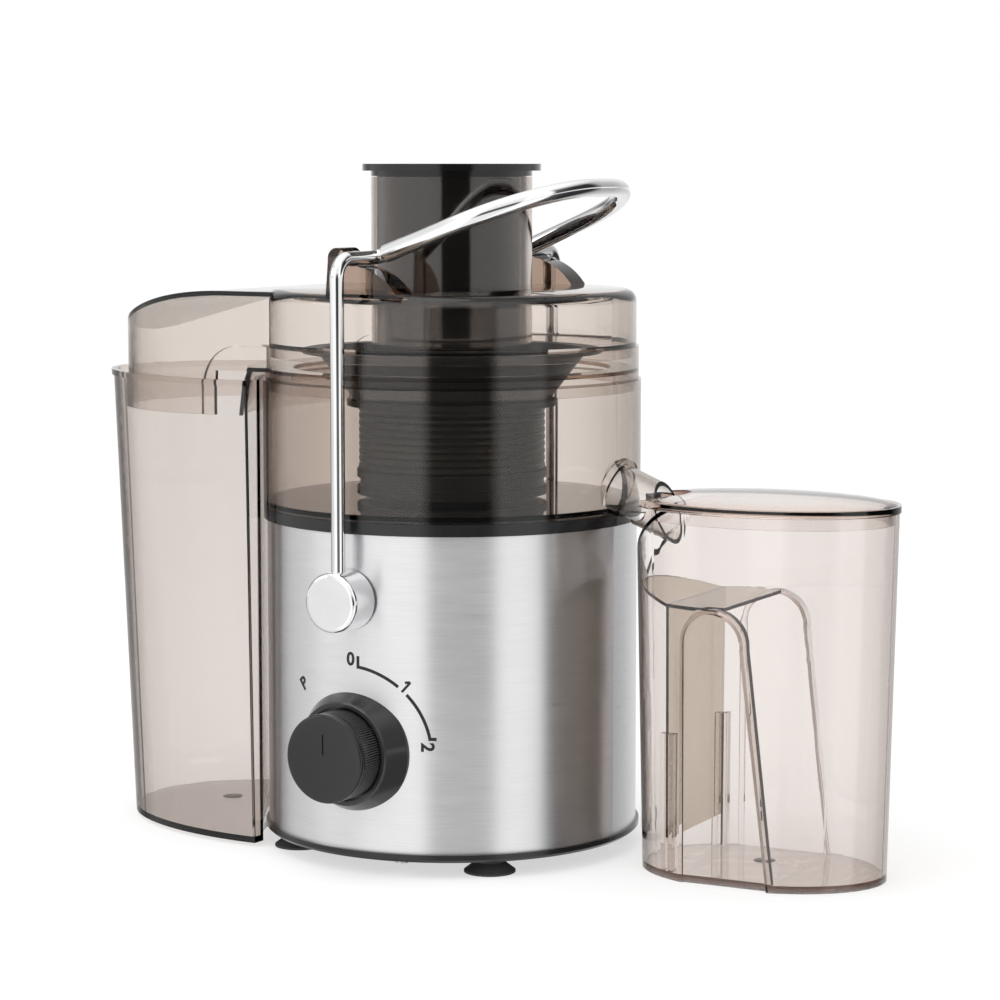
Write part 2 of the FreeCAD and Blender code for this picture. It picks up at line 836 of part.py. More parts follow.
def brush_gear():
    half = s.brush_holder_width / 2
    slot = s.brush_width / 2 + s.pin_gap
    holders = []
    brushes = []
    for angle in (0.0, 180.0):
        turn = Rotation(Vector(0, 0, 1), angle)
        side = 1 if angle == 0.0 else -1
        tower = block((s.brush_holder_end - s.brush_holder_start, half * 2,
                       commutator_middle + half - lower_top),
                      (s.brush_holder_start * side, -half * side, lower_top), turn)
        channel = block((s.brush_holder_end, slot * 2, slot * 2),
                        (0, -slot * side, commutator_middle - slot), turn)
        holders.append(cut(tower, channel))
        brushes.append(block((s.brush_length, s.brush_width, s.brush_width),
                             (brush_start * side, -s.brush_width / 2 * side,
                              commutator_middle - s.brush_width / 2), turn))
    node("brush_holders", group(*holders))
    node("carbon_brushes", group(*brushes))


def motor_shaft():
    node("motor_shaft", turned([
        (0, fan_bottom - 2.0), (s.shaft_radius - 0.8, fan_bottom - 2.0),
        (s.shaft_radius, fan_bottom - 1.2), (s.shaft_radius, coupling_top - 1.0),
        (0, coupling_top - 1.0)]))


def armature():
    core = ring(shaft_bore, s.armature_radius, stack_bottom, stack_top)
    slots = []
    for angle in spokes(s.slot_count):
        x, y = polar(s.armature_radius - 1.0, angle)
        slots.append(cylinder(s.slot_radius, s.stack_length, (x, y, stack_bottom)))
    node("armature_core", cut(core, *slots))
    ends = []
    for start, end in ((stack_top, stack_top + s.winding_overhang),
                       (stack_bottom, stack_bottom - s.winding_overhang)):
        middle = (start + end) / 2
        ends.append(turned([
            (shaft_bore, start), (s.winding_radius, start), (s.winding_radius, middle),
            (s.winding_radius - 5.0, end), (shaft_bore, end)]))
    node("armature_windings", group(*ends))
    node("commutator", ring(shaft_bore, s.commutator_radius,
                            commutator_top - s.commutator_length, commutator_top))


def cooling_fan():
    hub = ring(shaft_bore, s.fan_hub, fan_bottom, fan_top)
    disc = ring(s.fan_hub - 1.0, s.fan_radius, fan_top - s.fan_plate, fan_top)
    blades = []
    for angle in spokes(s.fan_blades):
        x, y = polar(s.fan_hub - 0.5, angle)
        lean = Rotation(Vector(0, 0, 1), angle + 16.0)
        blades.append(block((s.fan_radius - s.fan_hub - 3.0, s.fan_blade_wall, s.fan_height - 1.0),
                            (x, y, fan_bottom + 1.0), lean))
    bore = cylinder(shaft_bore, s.fan_height, (0, 0, fan_bottom))
    node("cooling_fan", cut(fuse(hub, disc, *blades), bore))


# Control knob and switch

steel_face = s.steel_radius
bezel_front = steel_face + s.bezel_height
bezel_floor = bezel_front - s.bezel_recess
knob_front = steel_face + s.knob_reach
knob_back = bezel_floor + s.seat_gap * 2
switch_front = housing_radius - s.switch_seat
switch_back = switch_front - s.switch_depth
grip_end = knob_front - s.switch_shaft_grip


def knob_bezel():
    hole = s.knob_radius + s.bezel_hole_gap
    edge_depth = steel_face - 8.0
    collar = turned([
        (s.bush_radius + s.fit_gap, edge_depth), (s.bezel_radius, edge_depth),
        (s.bezel_radius, steel_face - 3.5), (s.bezel_rim + 0.8, bezel_front - 0.8),
        (s.bezel_rim, bezel_front), (hole, bezel_front), (hole, bezel_floor),
        (s.bush_radius + s.fit_gap, bezel_floor)], (0, 0, s.knob_height), FRONT)
    body = cylinder(s.steel_radius + s.pin_gap, s.steel_height, (0, 0, steel_bottom))
    node("knob_bezel", cut(collar, body))


def control_knob():
    bore = s.switch_shaft_radius + s.shaft_gap
    skirt = knob_back + s.knob_skirt
    grip = turned([
        (bore, knob_back), (s.knob_radius, knob_back), (s.knob_radius, knob_front),
        (0, knob_front), (0, grip_end), (bore, grip_end)],
        (0, 0, s.knob_height), FRONT, [(s.knob_radius, knob_front, s.knob_edge)])
    flutes = []
    for angle in spokes(s.knob_ribs):
        x, z = polar(s.knob_radius + s.knob_rib_depth * 0.4, angle)
        flutes.append(cylinder(s.knob_rib_depth * 1.2, knob_front - s.knob_edge - 4.0 - skirt,
                               (x, -skirt, s.knob_height + z), FRONT))
    pointer = block((s.pointer_width, s.pointer_depth * 2, s.pointer_length),
                    (-s.pointer_width / 2, -knob_front - s.pointer_depth,
                     s.knob_height + s.knob_radius - s.knob_edge - s.pointer_length))
    node("control_knob", cut(grip, pointer, *flutes))
    node("switch_shaft", turned([
        (0, switch_back + 4.0), (s.switch_shaft_radius, switch_back + 4.0),
        (s.switch_shaft_radius, grip_end - s.seat_gap), (0, grip_end - s.seat_gap)],
        (0, 0, s.knob_height), FRONT))


def rotary_switch():
    half = s.switch_width / 2
    case = padded([(-half, -half), (half, -half), (half, half), (-half, half)], s.switch_depth,
                  (0, -switch_back, s.knob_height), FRONT, rounds=(s.switch_boss / 5,))
    bush = cylinder(s.bush_radius, bezel_floor - switch_front + 1.0,
                    (0, 1.0 - switch_front, s.knob_height), FRONT)
    bore = cylinder(s.switch_shaft_radius + s.pin_gap, s.steel_radius,
                    (0, -switch_back - 3.5, s.knob_height), FRONT)
    node("rotary_switch", cut(fuse(case, bush), bore))


def cord_gland():
    inner = housing_bore - 4.0
    outer = steel_face + s.seat_gap
    node("cord_gland", turned([
        (s.gland_bore, inner), (s.gland_radius, inner), (s.gland_radius, outer),
        (s.gland_flange, outer), (s.gland_flange - 1.0, outer + s.gland_reach),
        (s.gland_bore, outer + s.gland_reach)], (0, 0, s.gland_height), REAR))


def interlock_switch():
    back = housing_radius - s.interlock_seat
    case = block((s.interlock_width, s.interlock_deep, s.interlock_tall),
                 (-s.interlock_width / 2, back - s.interlock_deep, s.interlock_height))
    button = cylinder(2.0, 2.5, (0, back - s.interlock_deep / 2, s.interlock_height + s.interlock_tall))
    node("interlock_switch", fuse(case, button))


# Locking arm

stud_end = steel_face + s.hub_stand_off + s.hub_length - 3.5
hub_face = steel_face + s.hub_stand_off
rod_reach = steel_face + s.rod_offset
rod_foot = s.stud_radius + 2.0


def pivot_studs():
    studs = []
    boss_face = housing_radius - s.stud_boss_depth
    for turn in SIDES.values():
        studs.append(turned([
            (0, boss_face - 3.0), (s.stud_head, boss_face - 3.0), (s.stud_head, boss_face),
            (s.stud_radius, boss_face), (s.stud_radius, stud_end), (0, stud_end)],
            (0, 0, s.pivot_height), turn))
    node("pivot_studs", group(*studs))


def pivot_hubs():
    hubs = []
    bore = s.stud_radius + s.pin_gap
    face = hub_face + s.hub_length
    for side, sign in (("front", -1), ("rear", 1)):
        hub = turned([
            (bore, hub_face), (s.hub_radius, hub_face), (s.hub_radius, face), (0, face),
            (0, stud_end + s.seat_gap), (bore, stud_end + s.seat_gap)],
            (0, 0, s.pivot_height), SIDES[side], [(s.hub_radius, face, s.hub_edge)])
        socket = cylinder(s.rod_radius + s.shaft_gap, s.hub_radius * 2,
                          (0, rod_reach * sign, s.pivot_height + rod_foot - s.seat_gap))
        hubs.append(cut(hub, socket))
    node("pivot_hubs", group(*hubs))


def tube_along(points, bends, radius):
    """A round bar along straight runs joined by tangent arcs."""
    edges = []
    start = points[0]
    for i in range(1, len(points) - 1):
        corner = points[i]
        back = (points[i - 1] - corner).normalize()
        ahead = (points[i + 1] - corner).normalize()
        turn = math.pi - back.getAngle(ahead)
        reach = bends[i - 1] * math.tan(turn / 2)
        first = corner + back * reach
        last = corner + ahead * reach
        inward = (back + ahead).normalize()
        middle = corner + inward * (bends[i - 1] / math.cos(turn / 2) - bends[i - 1])
        edges.append(Part.LineSegment(start, first).toShape())
        edges.append(Part.Arc(first, middle, last).toShape())
        start = last
    edges.append(Part.LineSegment(start, points[-1]).toShape())
    path = Part.Wire(edges)
    heading = (points[1] - points[0]).normalize()
    section = Part.Wire(Part.Circle(points[0], heading, radius).toShape())
    return path.makePipeShell([section], True, False)


def loop_point(along, across):
    """A point of the arm's loop, in its own tilted plane, given in the part's frame."""
    tilt = math.radians(float(s.loop_rise_angle))
    height = float(rod_height)
    return Vector(along * math.cos(tilt), across, height + along * math.sin(tilt))


def arm_rods():
    half = float(s.loop_half_width)
    narrow = (half - float(s.loop_end_half_width)) / float(s.loop_straight)
    for side, sign in (("front", -1), ("rear", 1)):
        reach = float(rod_reach) * sign
        foot = Vector(0, reach, float(s.pivot_height) + float(rod_foot))
        shoulder = Vector(0, reach, float(rod_height))
        corner = loop_point(0.0, half * sign)
        end_along = float(s.loop_start) + float(s.loop_socket)
        end = loop_point(end_along, (half - narrow * end_along) * sign)
        bar = tube_along([foot, shoulder, corner, end],
                         [float(s.rod_bend), float(s.rod_corner)], float(s.rod_radius))
        node(f"arm_rod_{side}", formed(bar))


def arm_loop():
    half = float(s.loop_half_width)
    narrow = (half - float(s.loop_end_half_width)) / float(s.loop_straight)
    start_along = float(s.loop_start)
    reach = float(s.loop_reach)
    corner_half = half - narrow * reach
    start_half = half - narrow * start_along
    route = [loop_point(start_along, -start_half), loop_point(reach, -corner_half),
             loop_point(reach, corner_half), loop_point(start_along, start_half)]
    bend = float(s.loop_corner)
    tube = tube_along(route, [bend, bend], float(s.loop_tube))
    socket_half = start_half - narrow * float(s.loop_socket)
    depth_along = start_along + float(s.loop_socket) + float(s.seat_gap)
    for sign in (-1, 1):
        mouth = loop_point(start_along - 1.0, (start_half + narrow) * sign)
        depth = loop_point(depth_along, socket_half * sign)
        heading = depth - mouth
        socket = Part.makeCylinder(float(s.rod_radius + s.shaft_gap), heading.Length, mouth, heading)
        tube = tube.cut(socket)
    node("arm_loop", formed(tube))


# Juice bowl and its spout

spout_height = collar_top + s.spout_rise


def spout_turn():
    return Rotation(Vector(0, 1, 0), 90.0 + float(s.spout_drop_angle))


def juice_bowl():
    collar_bore = s.hub_bore + s.hub_wall + s.seat_gap * 2
    collar_wall = collar_bore + s.bowl_wall
    floor_bottom = collar_top + s.bowl_foot
    floor_top = floor_bottom + s.bowl_floor
    vessel = turned([
        (collar_bore, floor_bottom), (bowl_bore, floor_bottom), (bowl_bore, collar_top),
        (s.bowl_radius, collar_top), (s.bowl_radius, bowl_top), (bowl_bore, bowl_top),
        (bowl_bore, floor_top), (collar_wall, floor_top),
        (collar_wall, floor_top + s.bowl_collar_height), (collar_bore, floor_top + s.bowl_collar_height)])
    root = (bowl_bore - 12.0, 0, spout_height + 12.0 * math.tan(math.radians(float(s.spout_drop_angle))))
    length = (s.spout_reach + 40.0 - bowl_bore) / math.cos(math.radians(float(s.spout_drop_angle)))
    tube = cone(s.spout_radius, s.spout_end_radius, length, root, spout_turn())
    bore = cone(s.spout_radius - s.spout_wall, s.spout_end_radius - s.spout_wall, length, root,
                spout_turn())
    collar = cylinder(s.spout_radius + s.spout_collar, s.spout_collar * 2,
                      (s.bowl_radius - s.spout_collar, 0, spout_height), spout_turn())
    inside = cylinder(bowl_bore, s.bowl_height, (0, 0, floor_top))
    under = cylinder(s.bowl_radius + 12.0, s.collar_height * 2, (0, 0, collar_top - s.collar_height * 2))
    lean = math.atan2(float(s.spout_lip), float(s.spout_radius) * 2.3)
    drop = s.spout_radius * 5
    end_cut = block((s.spout_radius * 6, s.spout_radius * 6, drop * 2),
                    (s.spout_reach + drop * math.sin(lean), -s.spout_radius * 3,
                     spout_height + s.spout_tip_rise - drop * math.cos(lean)),
                    Rotation(Vector(0, 1, 0), -math.degrees(lean)))
    ledge = cut(cylinder(container_bore - s.seat_gap, s.hook_height,
                         (0, 0, bowl_top - s.hook_drop - s.hook_height)),
                cylinder(s.bowl_radius - 0.5, s.hook_height * 3,
                         (0, 0, bowl_top - s.hook_drop - s.hook_height * 2)))
    keep = block((40.0, s.hook_half_width * 2, s.bowl_height),
                 (-container_bore - 20.0, -s.hook_half_width, collar_top))
    hook = common(ledge, keep)
    outer = fuse(vessel, cut(fuse(tube, collar), inside, under, end_cut), hook)
    node("juice_bowl", cut(outer, bore))


# Pulp deck between bowl and lid

def prism(edges, half_width):
    """A solid with the given outline in the XZ plane, centred on Y."""
    face = Part.Face(Part.Wire(edges))
    face.translate(Vector(0, -half_width, 0))
    return face.extrude(Vector(0, 2 * half_width, 0))


def polyline(points):
    """Edges of a closed outline in the XZ plane through (x, z) points."""
    corners = [Vector(x, 0, z) for x, z in points]
    return [Part.LineSegment(a, b).toShape() for a, b in zip(corners, corners[1:] + corners[:1])]


def seam_region(gap, low):
    """What the pulp deck's throat takes of the duct, up to the curved seam, as a prism."""
    reach = -float(s.seam_reach) + gap
    bend = float(s.seam_round)
    top = float(surround_top) - gap
    near = Vector(reach + bend, 0, top)
    far = Vector(reach, 0, top - bend)
    middle = Vector(reach + bend * (1 - math.sqrt(0.5)), 0, top - bend * (1 - math.sqrt(0.5)))
    inner = Vector(-40.0, 0, top)
    foot = Vector(reach, 0, low)
    root = Vector(-40.0, 0, low)
    return [Part.LineSegment(root, inner).toShape(), Part.LineSegment(inner, near).toShape(),
            Part.Arc(near, middle, far).toShape(), Part.LineSegment(far, foot).toShape(),
            Part.LineSegment(foot, root).toShape()]


def filter_surround():
    lip_radius = bowl_bore - s.seat_gap
    lip_bottom = bowl_top - s.locating_lip
    deck_top_z = pulp_deck + s.pulp_deck_wall
    body = turned([
        (s.pulp_deck_bore, pulp_deck), (lip_radius - s.lip_wall, pulp_deck),
        (lip_radius - s.lip_wall, lip_bottom), (lip_radius, lip_bottom), (lip_radius, bowl_top),
        (s.surround_radius, bowl_top), (s.surround_radius, surround_top),
        (surround_bore, surround_top), (surround_bore, deck_top_z), (s.pulp_deck_bore, deck_top_z)])
    skirt_low = bowl_top - s.duct_skirt
    knee_low = pulp_deck - 8.0
    wall = s.pulp_deck_wall
    ramp = turned([
        (lip_radius - 1.0, pulp_deck), (s.ramp_flat, pulp_deck), (s.ramp_knee - wall, knee_low),
        (s.ramp_foot - wall, skirt_low), (s.ramp_foot, skirt_low), (s.ramp_knee, knee_low + wall),
        (s.ramp_flat + wall, deck_top_z), (lip_radius - 1.0, deck_top_z)])
    half = float(s.duct_half_width - s.duct_wall)
    throat = Part.makeBox(60.0, 2 * half, 200.0, Vector(-130.0, -half, 150.0))
    window = Part.makeBox(60.0, 2 * half, float(s.surround_height), Vector(-120.0, -half, float(deck_top_z)))
    floor = common(ramp, formed(throat))
    seam = seam_region(float(s.seat_gap), float(skirt_low))
    sides = prism(seam, float(s.duct_half_width)).cut(prism(seam, half))
    inside = Part.makeCylinder(float(surround_bore) + 1.0, 300.0)
    under = float(s.ramp_flat)
    near_wall = Part.makeBox(under, 400.0, float(pulp_deck) - 100.0, Vector(-under, -200.0, 100.0))
    walls = formed(sides.cut(inside).cut(near_wall))
    node("filter_surround", fuse(cut(body, formed(window)), floor, walls))


# Lid with feed chute, ears and pulp duct

def duct_plan(shrink, low, high):
    """The duct's outline seen from above, extruded from low to high."""
    half = float(s.duct_half_width) - shrink
    straight = -float(s.duct_straight)
    length = float(s.duct_reach) - float(s.duct_straight) - shrink
    root = -55.0
    ellipse = Part.Ellipse(Vector(straight, 0, low), length, half) if length > half else None
    if ellipse is None:
        ellipse = Part.Ellipse(Vector(straight, half, low), Vector(straight - length, 0, low),
                               Vector(straight, 0, low))
        end = ellipse.toShape(0.0, math.pi)
    else:
        end = ellipse.toShape(math.pi / 2, 3 * math.pi / 2)
    first, last = end.Vertexes[0].Point, end.Vertexes[-1].Point
    top_corner = Vector(root, last.y, low)
    low_corner = Vector(root, first.y, low)
    wire = Part.Wire([end, Part.LineSegment(last, top_corner).toShape(),
                      Part.LineSegment(top_corner, low_corner).toShape(),
                      Part.LineSegment(low_corner, first).toShape()])
    return Part.Face(wire).extrude(Vector(0, 0, high - low))


def duct_profile(shrink, low):
    """The duct's roof line as a prism outline: level near the lid, then falling in an arc."""
    top = float(lid_top - s.duct_roof_drop) - shrink
    flat = -float(s.duct_roof_flat)
    reach = -float(s.duct_reach) - 2.0
    drop = float(s.duct_end_drop)
    run = flat - reach
    radius = (run * run + drop * drop) / (2 * drop)
    half_run = run / 2
    half_drop = radius - math.sqrt(radius * radius - half_run * half_run)
    corner = Vector(-55.0, 0, top)
    start = Vector(flat, 0, top)
    middle = Vector(flat - half_run, 0, top - half_drop)
    end = Vector(reach, 0, top - drop)
    foot = Vector(reach, 0, low)
    root = Vector(-55.0, 0, low)
    return [Part.LineSegment(root, corner).toShape(), Part.LineSegment(corner, start).toShape(),
            Part.Arc(start, middle, end).toShape(), Part.LineSegment(end, foot).toShape(),
            Part.LineSegment(foot, root).toShape()]


def duct_solid(shrink, low):
    high = float(lid_top) + 20.0
    return duct_plan(shrink, low, high).common(prism(duct_profile(shrink, low), 100.0))


def ear(sign):
    """One hollow ear: a stop hump, a rest for the arm's rod and a smooth way out."""
    base = float(lid_top)
    top = base + float(s.ear_height)
    half = float(s.ear_half_length)
    back = float(s.ear_back_length)
    wall = float(s.ear_wall)
    rest = float(rod_height) - float(s.rod_radius) - float(s.seat_gap)

    def hump(inset, low):
        left = -back + inset
        right = half - inset
        crown = Vector(-8.5, 0, top - inset)
        shoulder_left = Vector(-back + 1.5 + inset * 0.7, 0, top - 6.0 - inset * 0.5)
        shoulder_right = Vector(-3.8 - inset * 0.6, 0, top - 4.0 - inset)
        saddle = Vector(4.0, 0, rest - 0.2 - inset)
        slope = Vector(17.0 - inset * 0.5, 0, rest - 5.2 - inset)
        foot_right = Vector(right, 0, base - 1.0)
        foot_left = Vector(left, 0, base - 1.0)
        low_right = Vector(right, 0, low)
        low_left = Vector(left, 0, low)
        return [Part.LineSegment(low_left, foot_left).toShape(),
                Part.LineSegment(foot_left, shoulder_left).toShape(),
                Part.Arc(shoulder_left, crown, shoulder_right).toShape(),
                Part.LineSegment(shoulder_right, saddle).toShape(),
                Part.Arc(saddle, slope, foot_right).toShape(),
                Part.LineSegment(foot_right, low_right).toShape(),
                Part.LineSegment(low_right, low_left).toShape()]

    start = float(s.ear_start)
    end = float(s.ear_end)
    middle = Vector(0, sign * (start + end) / 2, 0)
    outer = prism(hump(0.0, base - 1.5), (end - start) / 2)
    hollow = prism(hump(wall, base - 6.0), (end - start) / 2 - wall)
    outer.translate(middle)
    hollow.translate(middle)
    notch_start = Vector(0, sign * (start - 5.0), float(rod_height))
    notch = Part.makeCylinder(float(s.rod_radius + s.seat_gap), end - start + 10.0, notch_start,
                              Vector(0, sign, 0))
    return outer.cut(notch), hollow


def lid():
    lip_radius = surround_bore - s.seat_gap
    lip_bore = lip_radius - s.lip_wall
    lip_bottom = surround_top - s.locating_lip
    under = lid_top - s.lid_wall
    shell = turned([
        (chute_bore, chute_bottom), (s.chute_radius, chute_bottom), (s.chute_radius, under),
        (lid_bore, under), (lid_bore, surround_top + s.lip_wall), (lip_bore, surround_top),
        (lip_bore, lip_bottom), (lip_radius, lip_bottom), (lip_radius, surround_top),
        (s.lid_radius, surround_top), (s.lid_radius, lid_top), (s.chute_radius, lid_top),
        (s.chute_radius, chute_top), (chute_bore, chute_top)],
        rounds=[(s.lid_radius, lid_top, s.lid_edge)])
    skirt_low = float(bowl_top - s.duct_skirt)
    wall = float(s.duct_wall)
    duct = duct_solid(0.0, skirt_low).cut(duct_solid(wall, skirt_low - 5.0))
    duct = duct.cut(Part.makeCylinder(float(lid_bore), 400.0))
    duct = duct.cut(prism(seam_region(0.0, skirt_low - 5.0), 90.0))
    half = float(s.duct_half_width - s.duct_wall)
    mouth_low = float(lip_bottom) - 5.0
    mouth = Part.makeBox(60.0, 2 * half, float(under) - mouth_low, Vector(-120.0, -half, mouth_low))
    ears = [ear(-1), ear(1)]
    whole = fuse(cut(shell, formed(mouth)), formed(duct), formed(ears[0][0]), formed(ears[1][0]))
    node("lid", cut(whole, formed(ears[0][1]), formed(ears[1][1])))


# Filter basket

def coupling_form(gap, bottom, height):
    pieces = [cylinder(s.coupling_radius + gap, height, (0, 0, bottom))]
    for angle in spokes(s.coupling_lugs):
        x, y = polar(s.coupling_radius, angle)
        pieces.append(cylinder(s.coupling_lug + gap, height, (x, y, bottom)))
    return fuse(*pieces)


def drive_coupling():
    bore = cylinder(shaft_bore, s.coupling_height, (0, 0, basket_bottom - s.seat_gap))
    lugs = coupling_form(0.0, basket_bottom + s.seat_gap, s.coupling_height - s.seat_gap)
    node("drive_coupling", cut(lugs, bore))


def basket_base():
    rim = s.sieve_radius - s.sieve_wall - s.pin_gap
    outer = s.sieve_radius + 1.0
    ledge = plate_bottom - s.pin_gap
    skirt_bottom = collar_top + s.bowl_foot + s.bowl_floor + s.skirt_clearance
    hub = turned([
        (0, basket_bottom), (s.basket_hub, basket_bottom), (s.basket_hub, plate_bottom),
        (rim - 1.5, plate_bottom), (rim - 1.5, skirt_bottom), (outer, skirt_bottom),
        (outer, skirt_bottom + s.skirt_ring), (outer - s.skirt_step, skirt_bottom + s.skirt_ring),
        (outer - s.skirt_step, ledge - s.skirt_ring), (outer, ledge - s.skirt_ring), (outer, ledge),
        (rim, ledge), (rim, plate_top + 4.0), (rim - 1.5, plate_top + 4.0),
        (rim - 1.5, plate_top), (0, plate_top)])
    socket = coupling_form(s.seat_gap, basket_bottom, s.coupling_height + s.seat_gap)
    node("basket_base", cut(hub, socket))


def tooth(base, angle):
    """A cutting tooth: a wedge with a steep face towards the turn."""
    obj = doc.addObject("Part::Wedge", "tooth")
    bind(obj, "Xmin", -s.tooth_radius)
    bind(obj, "Xmax", s.tooth_radius)
    bind(obj, "X2min", -s.tooth_radius * 0.15)
    bind(obj, "X2max", s.tooth_radius * 0.15)
    bind(obj, "Zmin", -s.tooth_radius)
    bind(obj, "Zmax", s.tooth_radius)
    bind(obj, "Z2min", -s.tooth_radius)
    bind(obj, "Z2max", -s.tooth_radius * 0.6)
    bind(obj, "Ymin", -s.grater_wall / 2)
    bind(obj, "Ymax", s.tooth_height)
    return place(obj, base, Rotation(Vector(0, 0, 1), angle).multiply(FRONT))


def grater_disc():
    radius = s.sieve_radius - s.sieve_wall - 1.5 - s.pin_gap * 3
    disc = cylinder(radius, s.grater_wall, (0, 0, plate_top))
    teeth = []
    for row, angle in enumerate(spokes(s.tooth_rows)):
        for step in range(4 + row % 2):
            reach = (radius - 4.0) * (0.32 + 0.17 * step)
            x, y = polar(reach, angle + 9.0 * step)
            teeth.append(tooth((x, y, grater_top), angle + 9.0 * step))
    node("grater_disc", fuse(disc, *teeth))


def sieve():
    inner = s.sieve_radius - s.sieve_wall
    ridges = int(float(s.sieve_ridges))
    pitch = s.sieve_height / ridges
    points = [(inner, plate_bottom)]
    for i in range(ridges):
        low = plate_bottom + pitch * i
        points += [(s.sieve_radius - s.ridge_depth, low), (s.sieve_radius, low + pitch * 0.3),
                   (s.sieve_radius, low + pitch * 0.7)]
    points += [(s.sieve_radius - s.ridge_depth, sieve_top), (inner, sieve_top)]
    node("sieve", turned(points))


def basket_rim():
    inner = s.sieve_radius - s.sieve_wall
    cone_top = sieve_top + s.basket_ring_height + s.basket_cone_height
    thick = s.basket_flange_wall
    ring_top = sieve_top + s.basket_ring_height
    node("basket_rim", turned([
        (inner, sieve_top), (s.basket_ring, sieve_top), (s.basket_ring, ring_top),
        (s.sieve_radius + 2.6, ring_top), (s.basket_cone, cone_top - thick),
        (s.basket_flange, cone_top - thick), (s.basket_flange, cone_top),
        (s.basket_cone - thick, cone_top), (inner, ring_top - thick)]))


# Food pusher

def pusher():
    outer = chute_bore - s.pusher_gap
    inner = outer - s.pusher_wall
    bottom = chute_bottom + s.pusher_clearance
    seat = chute_top + s.seat_gap
    flange_bottom = seat + s.pusher_shoulder
    top = flange_bottom + s.pusher_flange_height
    node("pusher", turned([
        (0, bottom), (outer, bottom), (outer, seat), (s.chute_radius, seat),
        (s.chute_radius, flange_bottom), (s.pusher_flange, flange_bottom),
        (s.pusher_flange, top), (inner, top), (inner, bottom + s.pusher_wall),
        (0, bottom + s.pusher_wall)], rounds=[(outer, bottom, s.pusher_wall)]))


# Pulp container

OVAL_STRIPS = 16


def oval(x, z, length, width):
    """An ellipse in even strips, so that a wall lofted from it keeps its curve where it is cut."""
    ellipse = Part.Ellipse(Vector(x, 0, z), length, width)
    step = 2 * math.pi / OVAL_STRIPS
    return Part.Wire([ellipse.toShape(i * step, (i + 1) * step) for i in range(OVAL_STRIPS)])


def tapered_oval(x, low, high, low_size, high_size):
    """A solid between two ovals, straight-sided."""
    return Part.makeLoft([oval(x, low, *low_size), oval(x, high, *high_size)], True, True)


def container_form(shrink, low, high):
    bottom, top = float(s.container_bottom), float(s.container_top)
    x = -float(s.container_centre)

    def size(z):
        share = (z - bottom) / (top - bottom)
        length = float(s.container_length_low) * (1 - share) + float(s.container_length_top) * share
        width = float(s.container_width_low) * (1 - share) + float(s.container_width_top) * share
        return length - shrink, width - shrink

    form = tapered_oval(x, low, high, size(low), size(high))
    form = form.cut(Part.makeCylinder(float(container_bore) + shrink, high + 10.0))
    corner = float(s.container_corner) + shrink
    return form.cut(Part.makeBox(400.0, 400.0, high + 10.0, Vector(-corner, -200.0, 0)))


def pulp_container():
    bottom, top = float(s.container_bottom), float(s.container_top)
    wall = float(s.container_wall)
    bead = float(s.container_bead)
    outer = container_form(0.0, bottom, top)
    near_side = Part.makeBox(400.0, 400.0, top, Vector(-float(s.container_corner) - 1.0, -200.0, 0))
    rim = container_form(-bead, top - float(s.container_bead_height), top)
    rim = rim.cut(Part.makeCylinder(float(container_bore), top + 10.0)).cut(near_side)
    inner = container_form(wall, bottom + float(s.container_floor), top + 5.0)
    ledge_top = float(bowl_top - s.hook_drop)
    lip_low = ledge_top + float(s.seat_gap)
    half = float(s.hook_half_width) + 2.0
    lip = Part.makeCylinder(float(container_bore) + 0.5, top - lip_low, Vector(0, 0, lip_low))
    lip = lip.cut(Part.makeCylinder(float(container_bore) - float(s.container_lip), 400.0))
    lip = lip.common(Part.makeBox(60.0, 2 * half, 400.0, Vector(-130.0, -half, 0)))
    shape = outer.fuse([rim, lip]).cut(inner).removeSplitter()
    node("pulp_container", formed(shape))


# Juice jug with its lid and froth separator

def jug_form(shrink, low, high):
    top = float(s.jug_height)

    def size(z):
        share = z / top
        length = float(s.jug_length_low) * (1 - share) + float(s.jug_length_top) * share
        width = float(s.jug_width_low) * (1 - share) + float(s.jug_width_top) * share
        return length - shrink, width - shrink

    return tapered_oval(0.0, low, high, size(low), size(high))


def grip_recess(grow):
    """The arched hand grips at the front and back, as one pair of tools."""
    left = -float(s.grip_left) - grow
    right_low = float(s.grip_right_low) + grow
    right_top = float(s.grip_right_top) + grow
    height = float(s.grip_height)
    crown = height + float(s.grip_crown) + grow
    depth = float(s.jug_width_low) - float(s.grip_depth) - grow
    edges = [Part.LineSegment(Vector(right_top, 0, height), Vector(right_low, 0, -1.0)).toShape(),
             Part.LineSegment(Vector(right_low, 0, -1.0), Vector(left, 0, -1.0)).toShape(),
             Part.LineSegment(Vector(left, 0, -1.0), Vector(left, 0, height)).toShape(),
             Part.Arc(Vector(left, 0, height), Vector((left + right_top) / 2, 0, crown),
                      Vector(right_top, 0, height)).toShape()]
    return prism(edges, 90.0).cut(Part.makeBox(300.0, 2 * depth, 400.0, Vector(-150.0, -depth, -50.0)))


def jug_place():
    return (s.jug_x, s.jug_y, 0), Rotation(Vector(0, 0, 1), float(s.jug_turn))


def beak_tool():
    """The notch that the spout enters and the juice is poured from."""
    low = float(s.beak_height)
    rise = float(s.jug_height) - low + 20.0
    spread = rise / math.tan(math.radians(float(s.beak_slope)))
    reach = float(s.jug_length_top) + 20.0
    corners = [Vector(-reach, 0, low), Vector(-reach, spread, low + rise), Vector(-reach, -spread, low + rise)]
    wire = Part.makePolygon(corners + corners[:1])
    return Part.Face(wire).extrude(Vector(reach - float(s.separator_place) + 2.0, 0, 0))


